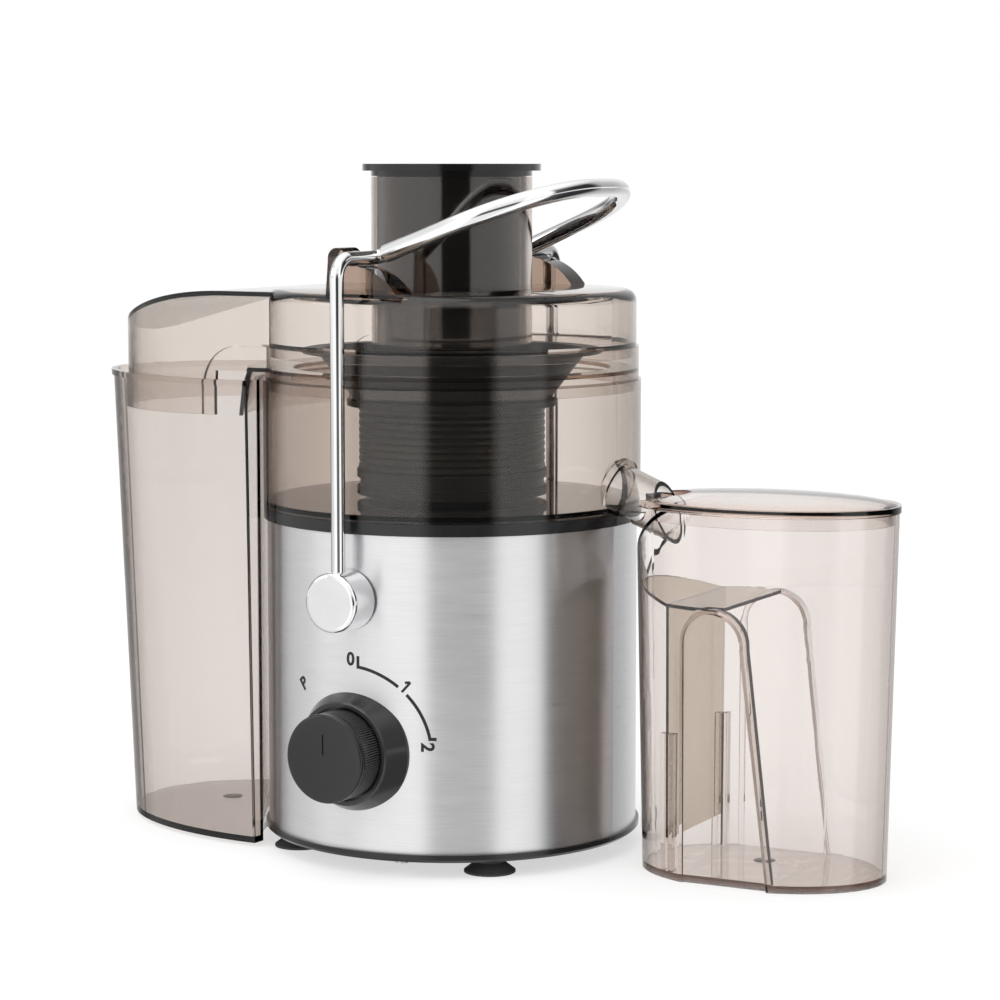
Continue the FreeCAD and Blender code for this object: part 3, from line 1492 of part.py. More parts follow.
def juice_jug():
    wall = float(s.jug_wall)
    top = float(s.jug_height)
    outer = jug_form(0.0, 0.0, top).cut(grip_recess(0.0))
    inner = jug_form(wall, float(s.jug_floor), top + 5.0).cut(grip_recess(wall))
    shell = outer.cut(inner)
    place_x = -float(s.separator_place)
    slot = float(s.separator_wall) / 2 + float(s.seat_gap)
    rib = float(s.rail_wall)
    reach = float(s.jug_width_low) * math.sqrt(1 - (place_x / float(s.jug_length_low)) ** 2)
    reach = reach - float(s.rail_reach)
    rails = []
    for start in (place_x - slot - rib, place_x + slot):
        for side in (-1, 1):
            y = reach if side > 0 else -reach - 40.0
            rails.append(Part.makeBox(rib, 40.0, float(s.rail_height), Vector(start, y, float(s.jug_floor) - 1.0)))
    rails = [rail.common(jug_form(wall / 2, 0.5, top)) for rail in rails]
    shape = shell.fuse(rails).cut(beak_tool()).removeSplitter()
    node("juice_jug", formed(shape, *jug_place()))


def froth_separator():
    place_x = -float(s.separator_place)
    half_wall = float(s.separator_wall) / 2
    wall = half_wall * 2
    roof = float(s.separator_roof)
    crest = float(s.separator_crest)
    end = -float(s.separator_roof_end)
    start = -float(s.jug_length_top)
    outline_xz = [
        (place_x - half_wall, float(s.separator_bottom)), (place_x + half_wall, float(s.separator_bottom)),
        (place_x + half_wall, roof - wall), (end, roof - wall), (end, roof),
        (place_x - half_wall, roof), (start, crest), (start, crest - wall),
        (place_x - half_wall, roof - wall)]
    gap = float(s.jug_wall + s.separator_gap)
    inside = jug_form(gap, float(s.jug_floor) + 1.0, float(s.jug_height)).cut(grip_recess(gap))
    plate = prism(polyline(outline_xz), 90.0).common(inside).cut(beak_clear())
    node("froth_separator", formed(plate, *jug_place()))


def beak_clear():
    """Keeps the separator's crest below the beak's notch."""
    reach = float(s.jug_length_top) + 20.0
    low = float(s.separator_crest) + 1.0
    return Part.makeBox(reach, 200.0, 100.0, Vector(-reach, -100.0, low))


def jug_lid():
    bottom = float(s.jug_height) + float(s.seat_gap)
    over = float(s.jug_lid_overhang)
    length = float(s.jug_length_top) + over
    width = float(s.jug_width_top) + over
    plate_height = float(s.jug_lid_plate)
    plate = Part.Face(oval(0.0, bottom, length, width)).extrude(Vector(0, 0, plate_height))
    dome_height = float(s.jug_lid_dome)
    dome = Part.makeSphere(1.0)
    stretch = FreeCAD.Matrix()
    stretch.scale(length - 2.0, width - 2.0, dome_height)
    dome = dome.transformGeometry(stretch)
    dome.translate(Vector(0, 0, bottom + plate_height - 0.3))
    above = Part.makeBox(400.0, 400.0, 50.0, Vector(-200.0, -200.0, bottom + plate_height - 0.4))
    dome = dome.common(above)
    hollow = Part.makeSphere(1.0)
    stretch = FreeCAD.Matrix()
    stretch.scale(length - 6.4, width - 6.4, dome_height + plate_height - float(s.jug_lid_wall))
    hollow = hollow.transformGeometry(stretch)
    hollow.translate(Vector(0, 0, bottom - 0.3))
    gap = float(s.jug_wall + s.separator_gap)
    skirt_low = bottom - float(s.jug_lid_skirt)
    skirt = jug_form(gap, skirt_low, bottom + 0.5)
    skirt = skirt.cut(jug_form(gap + float(s.jug_lid_skirt_wall), skirt_low - 1.0, bottom))
    turn = math.radians(float(s.jug_turn))
    middle = -(float(s.jug_x) - float(s.spout_reach)) * -math.sin(turn) - float(s.jug_y) * math.cos(turn)
    half = float(s.spout_radius + s.jug_lid_slot_gap)
    end = -float(s.jug_lid_slot_end) - half
    slot = Part.makeBox(100.0, 2 * half, 100.0, Vector(end - 100.0, middle - half, bottom - 50.0))
    slot = slot.fuse(Part.makeCylinder(half, 100.0, Vector(end, middle, bottom - 50.0)))
    shape = plate.fuse([dome, skirt]).cut(hollow).cut(slot).removeSplitter()
    node("jug_lid", formed(shape, *jug_place()))


BUILDERS = [
    suction_feet, bottom_cover, cover_screws, steel_sleeve, inner_housing, motor_deck, shaft_seal,
    motor_brackets, bearings, stator_core, field_coils, motor_mounts, motor_screws, brush_gear,
    motor_shaft, armature, cooling_fan, knob_bezel, control_knob, rotary_switch, cord_gland,
    interlock_switch, pivot_studs, pivot_hubs, arm_rods, arm_loop, juice_bowl, filter_surround,
    lid, drive_coupling, basket_base, grater_disc, sieve, basket_rim, pusher, pulp_container,
    juice_jug, froth_separator, jug_lid]

for build in BUILDERS:
    build()
doc.recompute()

# Nothing is written unless every object is sound
for obj in doc.Objects:
    if "Invalid" in obj.State or "Error" in obj.State:
        raise RuntimeError(f"{obj.Name} {obj.Label} did not build: {obj.State}")
for piece in NODES:
    if piece.Shape.isNull() or not piece.Shape.isValid() or not piece.Shape.Solids:
        raise RuntimeError(f"{piece.Label} is not a sound solid")

os.makedirs("parts", exist_ok=True)
for piece in NODES:
    piece.Shape.exportStep(f"parts/{piece.Label}.step")
print(f"{len(NODES)} pieces written")
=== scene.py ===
import math

import bmesh
import bpy
from bpy.props import FloatProperty, FloatVectorProperty, IntProperty, PointerProperty
from mathutils import Matrix, Vector


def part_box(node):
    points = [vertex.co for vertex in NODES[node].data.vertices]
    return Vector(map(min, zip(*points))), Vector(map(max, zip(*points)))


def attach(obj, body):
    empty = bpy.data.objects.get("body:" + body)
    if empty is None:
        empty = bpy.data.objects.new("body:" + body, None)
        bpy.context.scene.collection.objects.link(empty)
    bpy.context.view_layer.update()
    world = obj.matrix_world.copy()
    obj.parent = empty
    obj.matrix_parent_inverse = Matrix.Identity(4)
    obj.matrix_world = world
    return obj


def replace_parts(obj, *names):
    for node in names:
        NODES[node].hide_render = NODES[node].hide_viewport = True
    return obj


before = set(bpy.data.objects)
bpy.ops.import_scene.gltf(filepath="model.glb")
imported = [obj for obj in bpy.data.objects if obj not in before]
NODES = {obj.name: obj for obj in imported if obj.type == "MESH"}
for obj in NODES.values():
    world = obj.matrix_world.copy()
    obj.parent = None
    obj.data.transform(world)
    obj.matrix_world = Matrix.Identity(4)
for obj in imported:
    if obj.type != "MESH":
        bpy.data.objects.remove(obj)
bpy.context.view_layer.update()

bl_info = {
    "name": "Centrifugal juicer",
    "version": (1, 0, 0),
    "blender": (4, 5, 0),
    "location": "View3D > Sidebar > Juicer",
    "description": "Finishes, dial marks, knob and studio for a centrifugal juicer",
    "category": "Object",
}

KNOB_LOW, KNOB_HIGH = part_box("control_knob")
KNOB_MIDDLE = (KNOB_LOW + KNOB_HIGH) / 2.0
SLEEVE_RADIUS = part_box("steel_sleeve")[1].x

# How much light an upright smoked wall keeps as it turns edge on, as (facing, light)
BOWL_RIM = ((0.25, 1.0), (0.48, 0.9), (0.75, 0.78), (0.84, 0.6), (1.0, 0.12))
BIN_RIM = ((0.45, 1.0), (0.65, 0.94), (0.74, 0.84), (0.80, 0.6), (0.88, 0.38), (1.0, 0.08))
JUG_RIM = ((0.45, 1.0), (0.65, 0.955), (0.75, 0.9), (0.80, 0.74), (0.88, 0.5), (1.0, 0.12))

# Light that a smoked wall lets into its shadow
BOWL_SHADOW = (0.70, 0.62, 0.56)
BIN_SHADOW = (0.82, 0.78, 0.75)
JUG_SHADOW = (0.88, 0.84, 0.81)
SEPARATOR_SHADOW = (0.70, 0.64, 0.56)

# How fast smoked plastic takes up light, for each metre of wall
BOWL_DENSITY = 100.0
BIN_DENSITY = 105.0
JUG_DENSITY = 80.0
SEPARATOR_DENSITY = 290.0

# Painted shade: darker band over the lower edge of a smoked wall, where it overlaps the wall below: its
# height, its colour and how far out it is looked for
SEAM_BAND = 0.0011
PAINTED_SEAM_SHADE = (0.45, 0.41, 0.38, 1.0)
SEAM_REACH = SLEEVE_RADIUS + 0.002

# Small lengths of the knob in metres, and how deep its grip lies as a share of half a rib's depth
KNOB_FOOT_EDGE = 0.001
KNOB_STEP = 0.0006
KNOB_CROWN = 0.0004
KNOB_CROWN_RUN = 0.003
KNOB_GRIP_SHARE = 1.7
RIB_START = 0.0018
RIB_SHORTENING = 0.0030
RIB_SINK = 0.0001

# Pointer groove: its outer end as a share of the knob's radius, its depth and how its sides flare
GROOVE_END = 0.56
GROOVE_DEPTH = 0.0006
GROOVE_OVER = 0.001
GROOVE_FLOOR_SHARE = 0.6
GROOVE_MOUTH_SHARE = 1.5

# Speed arcs as (start, end) in degrees from the top, the first tick's length and the last tick's share of it
DIAL_ARCS = ((6.0, 37.5), (45.0, 78.5))
DIAL_TICK = 0.0055
DIAL_LAST_TICK = 0.6

# Dial characters as (character, length round the steel, height over the knob's axis, turn in degrees)
DIAL_CHARACTERS = (("0", 0.0002, 0.0467, 0.0), ("1", 0.0303, 0.0342, 42.0), ("2", 0.0412, 0.0045, 90.0),
                   ("P", -0.0322, 0.0312, -42.0))
TEXT_SIZE = 1.38
TEXT_WEIGHT = 0.045
ONE_WIDTH = 0.8

# Moulding marks as (body, node, place on the floor, thickness of the floor), and how deep they sit in it
GATE_MARKS = (("pulp_bin", "pulp_container", (-0.147, 0.0067), 0.0030),
              ("jug", "juice_jug", (0.1715, 0.022), 0.0035))
GATE_SINK = 0.00005

# Their section as (share of the radius, height)
GATE_SECTION = ((0.0, 0.0), (1.0, 0.0), (0.96, 0.00025), (0.5, 0.0007), (0.0, 0.0008))

# Light of the studio room by compass angle in degrees: at eye level, near it, and far above or below
LEVEL_LIGHT = ((-180, 0.9), (-165, 0.95), (-101, 1.1), (-75, 0.95), (-71, 0.04), (-33, 0.04), (-29, 0.85),
               (40, 0.95), (62, 0.9), (70, 0.6), (104, 1.0), (140, 1.0), (150, 0.6), (165, 0.4), (180, 0.9))
LOW_LIGHT = ((-180, 0.6), (-165, 0.68), (-128, 0.8), (-108, 1.15), (-77, 1.15), (-70, 0.14), (-36, 0.12),
             (-28, 1.1), (-2, 1.1), (3, 0.08), (15, 0.05), (48, 0.02), (56, 0.15), (62, 0.4), (80, 0.6),
             (104, 0.75), (118, 0.95), (130, 0.8), (140, 0.5), (150, 0.3), (162, 0.1), (170, 0.2), (180, 0.6))
SKY_LIGHT = ((-180, 0.65), (-128, 0.86), (-108, 1.1), (-77, 1.1), (-70, 0.92), (-36, 0.88), (-28, 1.1),
             (-2, 1.1), (3, 0.12), (15, 0.06), (25, 0.03), (48, 0.03), (56, 0.15), (62, 0.4), (80, 0.6),
             (100, 0.85), (135, 0.85), (150, 0.5), (165, 0.3), (180, 0.65))
CEILING_LIGHT = (1.1, 1.1, 1.1, 1.0)

WHITE = (1.0, 1.0, 1.0, 1.0)
FLOOR_HALF_SIZE = 14.0
FLOOR_GLOW = 0.60
CAMERA_PLACE = (0.8392, -1.3484, 0.3537)
CAMERA_DIP = 0.11
CAMERA_TURN = math.radians(31.0)
CAMERA_LENS = 110.56
CAMERA_SENSOR = 36.0
LIGHT_BOUNCES = 24


def colour_property(name, description, default):
    return FloatVectorProperty(name=name, description=description, default=default, size=3,
                               min=0.0, max=1.0, subtype="COLOR")


def length_property(name, description, default):
    return FloatProperty(name=name, description=description, default=default, min=0.0,
                         unit="LENGTH", precision=5)


class JuicerSizes(bpy.types.PropertyGroup):
    """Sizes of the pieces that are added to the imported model"""

    rib_count: IntProperty(name="Knob ribs", description="Fine ribs round the knob", default=112, min=12)
    rib_radius: length_property("Rib radius", "Half the width of one knob rib", 0.00036)
    rib_depth: FloatProperty(name="Rib depth", description="Depth of a rib as a share of its width",
                             default=2.2)
    cap_band: length_property("Smooth band", "Plain band behind the knob's face", 0.0030)
    cap_edge: length_property("Face edge", "Rounding of the knob's face edge", 0.0016)
    pointer_length: length_property("Pointer length", "Groove in the knob's face", 0.0104)
    pointer_width: length_property("Pointer width", "Width of that groove", 0.0013)
    dial_radius: length_property("Dial radius", "Radius of the speed arcs", 0.0431)
    line_width: length_property("Line width", "Width of the printed arcs", 0.0016)
    digit_height: length_property("Digit height", "Height of the dial characters", 0.0066)
    print_lift: length_property("Print thickness", "How far the print stands off the steel", 0.00008)
    gate_radius: length_property("Gate mark", "Radius of the moulding mark in a floor", 0.0055)


class JuicerColours(bpy.types.PropertyGroup):
    """Colours of the finishes"""

    steel: colour_property("Brushed steel", "Body sleeve", (0.80, 0.80, 0.81))
    chrome: colour_property("Chrome", "Locking arm", (0.93, 0.932, 0.935))
    bowl_smoke: colour_property("Bowl smoke", "What bowl and lid let through", (0.44, 0.24, 0.08))
    bin_smoke: colour_property("Container smoke", "What the pulp container lets through",
                               (0.39, 0.22, 0.105))
    jug_smoke: colour_property("Jug smoke", "What the jug lets through", (0.50, 0.275, 0.15))
    separator_smoke: colour_property("Separator smoke", "What the froth separator lets through",
                                     (0.43, 0.27, 0.02))
    gate_mark: colour_property("Gate mark", "Moulding marks in the floors", (0.10, 0.085, 0.075))
    gloss_black: colour_property("Gloss black", "Collar and bottom cover", (0.012, 0.012, 0.013))
    bezel_black: colour_property("Bezel black", "Ring round the knob", (0.030, 0.030, 0.031))
    satin_black: colour_property("Satin black", "Knob", (0.014, 0.014, 0.015))
    # Ribs are made lighter than the knob's own black: a painted highlight
    rib_painted_highlight: colour_property("Rib painted highlight", "Ribs of the knob", (0.085, 0.085, 0.086))
    pusher_black: colour_property("Pusher black", "Food pusher", (0.008, 0.0075, 0.0075))
    basket_black: colour_property("Basket black", "Base and rim of the basket", (0.006, 0.0055, 0.0045))
    rubber: colour_property("Rubber", "Feet", (0.05, 0.05, 0.05))
    print_black: colour_property("Dial print", "Marks on the steel", (0.010, 0.010, 0.011))
    sieve_sheet: colour_property("Sieve sheet", "Sieve between its holes", (0.040, 0.037, 0.031))
    # Holes are painted, not cut: their dark colour is painted shade seen through them
    sieve_hole_shade: colour_property("Sieve hole shade", "Holes of the sieve", (0.004, 0.004, 0.003))
    grater_steel: colour_property("Grater steel", "Grater disc", (0.52, 0.52, 0.52))
    housing_grey: colour_property("Housing grey", "Inner housing", (0.20, 0.20, 0.20))
    zinc: colour_property("Zinc", "Brackets and screws", (0.62, 0.63, 0.65))
    ground_steel: colour_property("Ground steel", "Shafts and bearings", (0.70, 0.70, 0.71))
    iron: colour_property("Iron", "Cores of the motor", (0.24, 0.235, 0.23))
    copper: colour_property("Copper", "Coils", (0.72, 0.30, 0.15))
    carbon: colour_property("Carbon", "Brushes", (0.016, 0.016, 0.017))
    nylon: colour_property("Nylon", "Switches, brush holders and fan", (0.72, 0.71, 0.68))
    floor: colour_property("Floor", "Studio floor", (0.46, 0.46, 0.46))


def sizes():
    return bpy.context.scene.juicer_sizes


def colours():
    return bpy.context.scene.juicer_colours


# Node helpers

def feed(tree, node, inputs):
    """Links sockets and sets plain values on a node's inputs"""
    for key, value in inputs.items():
        if isinstance(value, bpy.types.NodeSocket):
            tree.links.new(value, node.inputs[key])
        else:
            node.inputs[key].default_value = value


def wire(tree, kind, inputs=None, **settings):
    """New node with these inputs and settings"""
    node = tree.nodes.new(kind)
    for name, value in settings.items():
        setattr(node, name, value)
    feed(tree, node, inputs or {})
    return node


def place_group(tree, group, inputs):
    return wire(tree, "ShaderNodeGroup", inputs, node_tree=group)


def math_node(tree, operation, *values):
    return wire(tree, "ShaderNodeMath", dict(enumerate(values)), operation=operation).outputs[0]


def vector_node(tree, operation, inputs):
    return wire(tree, "ShaderNodeVectorMath", inputs, operation=operation).outputs


def parts_of(tree, vector):
    return wire(tree, "ShaderNodeSeparateXYZ", {0: vector}).outputs


def between(tree, value, start, end, low=0.0, high=1.0):
    """Value that goes from low at start to high at end"""
    return wire(tree, "ShaderNodeMapRange", {0: value, 1: start, 2: end, 3: low, 4: high}).outputs[0]


def spread(tree, mask, low, high):
    return between(tree, mask, 0.0, 1.0, low, high)


def blend_colour(tree, mask, first, second):
    mix = wire(tree, "ShaderNodeMix", {0: mask, 6: first, 7: second}, data_type="RGBA")
    return mix.outputs[2]


def colour_ramp(tree, share, stops):
    """Colour along a share from 0 to 1, by (position, colour) stops"""
    ramp = wire(tree, "ShaderNodeValToRGB", {0: share})
    marks = ramp.color_ramp.elements
    for index, (position, colour) in enumerate(stops):
        mark = marks[index] if index < 2 else marks.new(position)
        mark.position = position
        mark.color = colour
    return ramp.outputs[0]


def turn_angle(tree, part):
    """Angle round the motor's axis, from the front"""
    back = math_node(tree, "MULTIPLY", part[1], -1.0)
    return math_node(tree, "ARCTAN2", part[0], back)


def flat_place(tree, place):
    """Place without its height"""
    return vector_node(tree, "MULTIPLY", {0: place, 1: (1.0, 1.0, 0.0)})[0]


def four(colour, share=1.0):
    return tuple(min(1.0, part * share) for part in colour) + (1.0,)


def effect_group(name, inputs, outputs):
    tree = bpy.data.node_groups.new(name, "ShaderNodeTree")
    for label, kind, default in inputs:
        socket = tree.interface.new_socket(label, in_out="INPUT", socket_type=kind)
        if default is not None:
            socket.default_value = default
    for label in outputs:
        tree.interface.new_socket(label, in_out="OUTPUT", socket_type="NodeSocketFloat")
    return tree, tree.nodes.new("NodeGroupInput"), tree.nodes.new("NodeGroupOutput")


# Shared effects

def brushed_group():
    """Fine streaks that run round a turned piece"""
    name = "Brushed streaks"
    if name in bpy.data.node_groups:
        return bpy.data.node_groups[name]
    tree, start, end = effect_group(name, [
        ("Vector", "NodeSocketVector", None), ("Lines", "NodeSocketFloat", 2600.0),
        ("Run", "NodeSocketFloat", 5.0)], ["Mask", "Height"])
    part = parts_of(tree, start.outputs["Vector"])
    along = math_node(tree, "MULTIPLY", turn_angle(tree, part), start.outputs["Run"])
    across = math_node(tree, "MULTIPLY", part[2], start.outputs["Lines"])
    place = wire(tree, "ShaderNodeCombineXYZ", {0: along, 1: across}).outputs[0]
    fine = wire(tree, "ShaderNodeTexNoise", {"Vector": place, "Scale": 1.0, "Detail": 3.0},
                noise_dimensions="2D").outputs[0]
    slow = math_node(tree, "MULTIPLY", across, 0.12)
    wide_place = wire(tree, "ShaderNodeCombineXYZ", {0: along, 1: slow}).outputs[0]
    wide = wire(tree, "ShaderNodeTexNoise", {"Vector": wide_place, "Scale": 0.6, "Detail": 2.0},
                noise_dimensions="2D").outputs[0]
    both = math_node(tree, "ADD", math_node(tree, "MULTIPLY", fine, 0.7),
                     math_node(tree, "MULTIPLY", wide, 0.3))
    feed(tree, end, {"Mask": both, "Height": fine})
    return tree


def grain_group():
    """Fine moulded grain of a plastic or rubber face"""
    name = "Mould grain"
    if name in bpy.data.node_groups:
        return bpy.data.node_groups[name]
    tree, start, end = effect_group(name, [
        ("Vector", "NodeSocketVector", None), ("Scale", "NodeSocketFloat", 900.0)],
        ["Mask", "Height"])
    noise = wire(tree, "ShaderNodeTexNoise", {
        "Vector": start.outputs["Vector"], "Scale": start.outputs["Scale"], "Detail": 4.0}).outputs[0]
    feed(tree, end, {"Mask": spread(tree, noise, 0.0, 1.0), "Height": noise})
    return tree


def haze_group():
    """Slow changes of gloss where a piece is handled and wiped"""
    name = "Handling haze"
    if name in bpy.data.node_groups:
        return bpy.data.node_groups[name]
    tree, start, end = effect_group(name, [
        ("Vector", "NodeSocketVector", None), ("Scale", "NodeSocketFloat", 18.0)], ["Mask"])
    noise = wire(tree, "ShaderNodeTexNoise", {
        "Vector": start.outputs["Vector"], "Scale": start.outputs["Scale"], "Detail": 5.0}).outputs[0]
    feed(tree, end, {"Mask": between(tree, noise, 0.35, 0.7)})
    return tree


# Finishes

def start_material(name):
    material = bpy.data.materials.new(name)
    material.use_nodes = True
    tree = material.node_tree
    tree.nodes.clear()
    output = tree.nodes.new("ShaderNodeOutputMaterial")
    shader = tree.nodes.new("ShaderNodeBsdfPrincipled")
    feed(tree, output, {"Surface": shader.outputs[0]})
    place = tree.nodes.new("ShaderNodeTexCoord").outputs["Object"]
    return material, tree, shader, output, place


def worn(tree, rough, haze, share):
    """Roughness that rises where a piece is handled"""
    return math_node(tree, "ADD", rough, math_node(tree, "MULTIPLY", haze.outputs["Mask"], share))


def bump(tree, height, strength, distance):
    node = wire(tree, "ShaderNodeBump", {"Height": height, "Strength": strength, "Distance": distance})
    return node.outputs[0]


def brushed_steel():
    material, tree, shader, _, place = start_material("brushed_steel")
    streaks = place_group(tree, brushed_group(), {"Vector": place, "Lines": 2600.0, "Run": 5.0})
    haze = place_group(tree, haze_group(), {"Vector": place, "Scale": 14.0})
    steel = colours().steel
    rough = spread(tree, streaks.outputs["Mask"], 0.24, 0.36)
    feed(tree, shader, {
        "Base Color": blend_colour(tree, streaks.outputs["Mask"], four(steel, 0.86), four(steel, 1.08)),
        "Roughness": worn(tree, rough, haze, 0.04),
        "Metallic": 1.0,
        "Anisotropic": 0.85,
        "Anisotropic Rotation": 0.25,
        "Tangent": wire(tree, "ShaderNodeTangent", direction_type="RADIAL", axis="Z").outputs[0],
        "Normal": bump(tree, streaks.outputs["Height"], 0.08, 0.00003)})
    return material


def polished_chrome():
    material, tree, shader, _, place = start_material("polished_chrome")
    haze = place_group(tree, haze_group(), {"Vector": place, "Scale": 60.0})
    chrome = colours().chrome
    feed(tree, shader, {
        "Base Color": blend_colour(tree, haze.outputs["Mask"], four(chrome), four(chrome, 0.95)),
        "Roughness": spread(tree, haze.outputs["Mask"], 0.03, 0.09),
        "Metallic": 1.0})
    return material


def rim_shade(light):
    """Grey that turns slightly brown as it gets darker"""
    return (light, light * (0.96 + 0.04 * light), light * (0.93 + 0.07 * light), 1.0)


def upright_rim(tree, stops, level):
    """Darkening of upright walls towards their outline, by (facing, light) stops, and of level faces"""
    normal = tree.nodes.new("ShaderNodeNewGeometry").outputs["Normal"]
    rise = math_node(tree, "ABSOLUTE", parts_of(tree, normal)[2])
    upright = between(tree, rise, 0.3, 0.8, 1.0, 0.0)
    facing = wire(tree, "ShaderNodeLayerWeight", {"Blend": 0.5}).outputs["Facing"]
    shades = [(position, rim_shade(light)) for position, light in stops]
    outline = colour_ramp(tree, math_node(tree, "MULTIPLY", facing, upright), shades)
    return blend_colour(tree, upright, (level, level * 0.985, level * 0.965, 1.0), outline)


def domed_normal(tree, place, lean):
    """Level faces shaded as if they fell slightly towards the rim"""
    normal = tree.nodes.new("ShaderNodeNewGeometry").outputs["Normal"]
    share = between(tree, parts_of(tree, normal)[2], 0.85, 0.98, 0.0, lean)
    slope = vector_node(tree, "SCALE", {0: flat_place(tree, place), "Scale": share})[0]
    total = vector_node(tree, "ADD", {0: normal, 1: slope})[0]
    return vector_node(tree, "NORMALIZE", {0: total})[0]


def seam_shade_mask(tree, place, height):
    """Narrow band of painted shade over the lower edge of a round wall, where it meets the wall below"""
    half = SEAM_BAND / 2.0
    near = math_node(tree, "COMPARE", parts_of(tree, place)[2], height + half, half)
    reach = vector_node(tree, "LENGTH", {0: flat_place(tree, place)})["Value"]
    return math_node(tree, "MULTIPLY", near, math_node(tree, "LESS_THAN", reach, SEAM_REACH))


def smoked_plastic(name, tint, density, shadow, rim, level, lean=0.0, shade_seam_height=None):
    """Clear moulding whose colour comes from the thickness of its wall; a seam height adds a band of painted
    shade over its lower edge
    """
    material, tree, shader, output, place = start_material(name)
    haze = place_group(tree, haze_group(), {"Vector": place, "Scale": 22.0})
    outline = upright_rim(tree, rim, level)
    if shade_seam_height:
        # Painted shade: the colour darkens in a narrow band over the lower edge
        outline = blend_colour(tree, seam_shade_mask(tree, place, shade_seam_height), outline, PAINTED_SEAM_SHADE)
    feed(tree, shader, {
        "Base Color": outline,
        "Roughness": spread(tree, haze.outputs["Mask"], 0.0, 0.012),
        "Specular Tint": upright_rim(tree, rim, 1.0),
        "Transmission Weight": 1.0,
        "IOR": 1.47})
    if lean:
        feed(tree, shader, {"Normal": domed_normal(tree, place, lean)})
    film = wire(tree, "ShaderNodeBsdfTransparent", {0: shadow + (1.0,)})
    path = tree.nodes.new("ShaderNodeLightPath")
    mix = wire(tree, "ShaderNodeMixShader", {
        0: path.outputs["Is Shadow Ray"], 1: shader.outputs[0], 2: film.outputs[0]})
    absorb = wire(tree, "ShaderNodeVolumeAbsorption", {"Color": four(tint), "Density": density})
    feed(tree, output, {"Surface": mix.outputs[0], "Volume": absorb.outputs[0]})
    return material


def moulded(name, colour, rough, scale=900.0, strength=0.08, specular=0.5):
    """Opaque plastic or rubber with its moulded grain, its roughness given as (low, high)"""
    material, tree, shader, _, place = start_material(name)
    grain = place_group(tree, grain_group(), {"Vector": place, "Scale": scale})
    haze = place_group(tree, haze_group(), {"Vector": place, "Scale": 24.0})
    feed(tree, shader, {
        "Base Color": blend_colour(tree, haze.outputs["Mask"], four(colour, 0.9), four(colour, 1.2)),
        "Roughness": worn(tree, spread(tree, grain.outputs["Mask"], *rough), haze, 0.05),
        "Specular IOR Level": specular,
        "Normal": bump(tree, grain.outputs["Height"], strength, 0.0002)})
    return material


def bare_metal(name, colour, rough, lines, run):
    """Turned or pressed metal with light tool marks, its roughness given as (low, high)"""
    material, tree, shader, _, place = start_material(name)
    streaks = place_group(tree, brushed_group(), {"Vector": place, "Lines": lines, "Run": run})
    feed(tree, shader, {
        "Base Color": blend_colour(tree, streaks.outputs["Mask"], four(colour, 0.8), four(colour, 1.1)),
        "Roughness": spread(tree, streaks.outputs["Mask"], *rough),
        "Metallic": 1.0,
        "Normal": bump(tree, streaks.outputs["Height"], 0.15, 0.00008)})
    return material


def sieve_mesh():
    """Etched sheet with rows of fine holes, painted as darker spots of shade rather than cut"""
    material, tree, shader, _, place = start_material("sieve_mesh")
    part = parts_of(tree, place)
    around = math_node(tree, "SINE", math_node(tree, "MULTIPLY", turn_angle(tree, part), 220.0))
    along = math_node(tree, "SINE", math_node(tree, "MULTIPLY", part[2], 5200.0))
    hole = between(tree, math_node(tree, "MULTIPLY", around, along), 0.25, 0.45)
    feed(tree, shader, {
        "Base Color": blend_colour(tree, hole, four(colours().sieve_sheet), four(colours().sieve_hole_shade)),
        "Roughness": spread(tree, hole, 0.32, 0.8),
        "Metallic": 0.9})
    return material


def paint(material, *names):
    for name in names:
        slots = NODES[name].data.materials
        slots.clear()
        slots.append(material)


# Meshes

def add_object(name, mesh, material, body):
    piece = bpy.data.objects.new(name, mesh)
    bpy.context.scene.collection.objects.link(piece)
    mesh.materials.clear()
    mesh.materials.append(material)
    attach(piece, body)
    return piece


def close_mesh(shape, mesh, smooth_angle=math.radians(35.0)):
    bmesh.ops.remove_doubles(shape, verts=shape.verts, dist=1e-7)
    bmesh.ops.recalc_face_normals(shape, faces=shape.faces)
    for face in shape.faces:
        face.smooth = True
    for edge in shape.edges:
        edge.smooth = edge.calc_face_angle(math.pi) < smooth_angle
    shape.to_mesh(mesh)
    shape.free()
    return mesh


def settled_mesh(holder):
    """Plain mesh of an object as its modifiers leave it; the object is then removed"""
    bpy.context.view_layer.update()
    ready = holder.evaluated_get(bpy.context.evaluated_depsgraph_get())
    mesh = bpy.data.meshes.new_from_object(ready)
    holder.modifiers.clear()
    bpy.data.objects.remove(holder)
    return mesh


def turned_shape(profile, steps):
    """Closed shape from a profile of (radius, height) turned about Z"""
    shape = bmesh.new()
    rings = []
    for radius, height in profile:
        if radius < 1e-9:
            rings.append([shape.verts.new((0.0, 0.0, height))])
            continue
        ring = []
        for step in range(steps):
            angle = 2.0 * math.pi * step / steps
            ring.append(shape.verts.new((radius * math.cos(angle), radius * math.sin(angle), height)))
        rings.append(ring)
    for lower, upper in zip(rings, rings[1:]):
        for step in range(steps):
            after = (step + 1) % steps
            corners = [lower[step % len(lower)], lower[after % len(lower)],
                       upper[after % len(upper)], upper[step % len(upper)]]
            kept = []
            for corner in corners:
                if corner not in kept:
                    kept.append(corner)
            shape.faces.new(kept)
    return shape


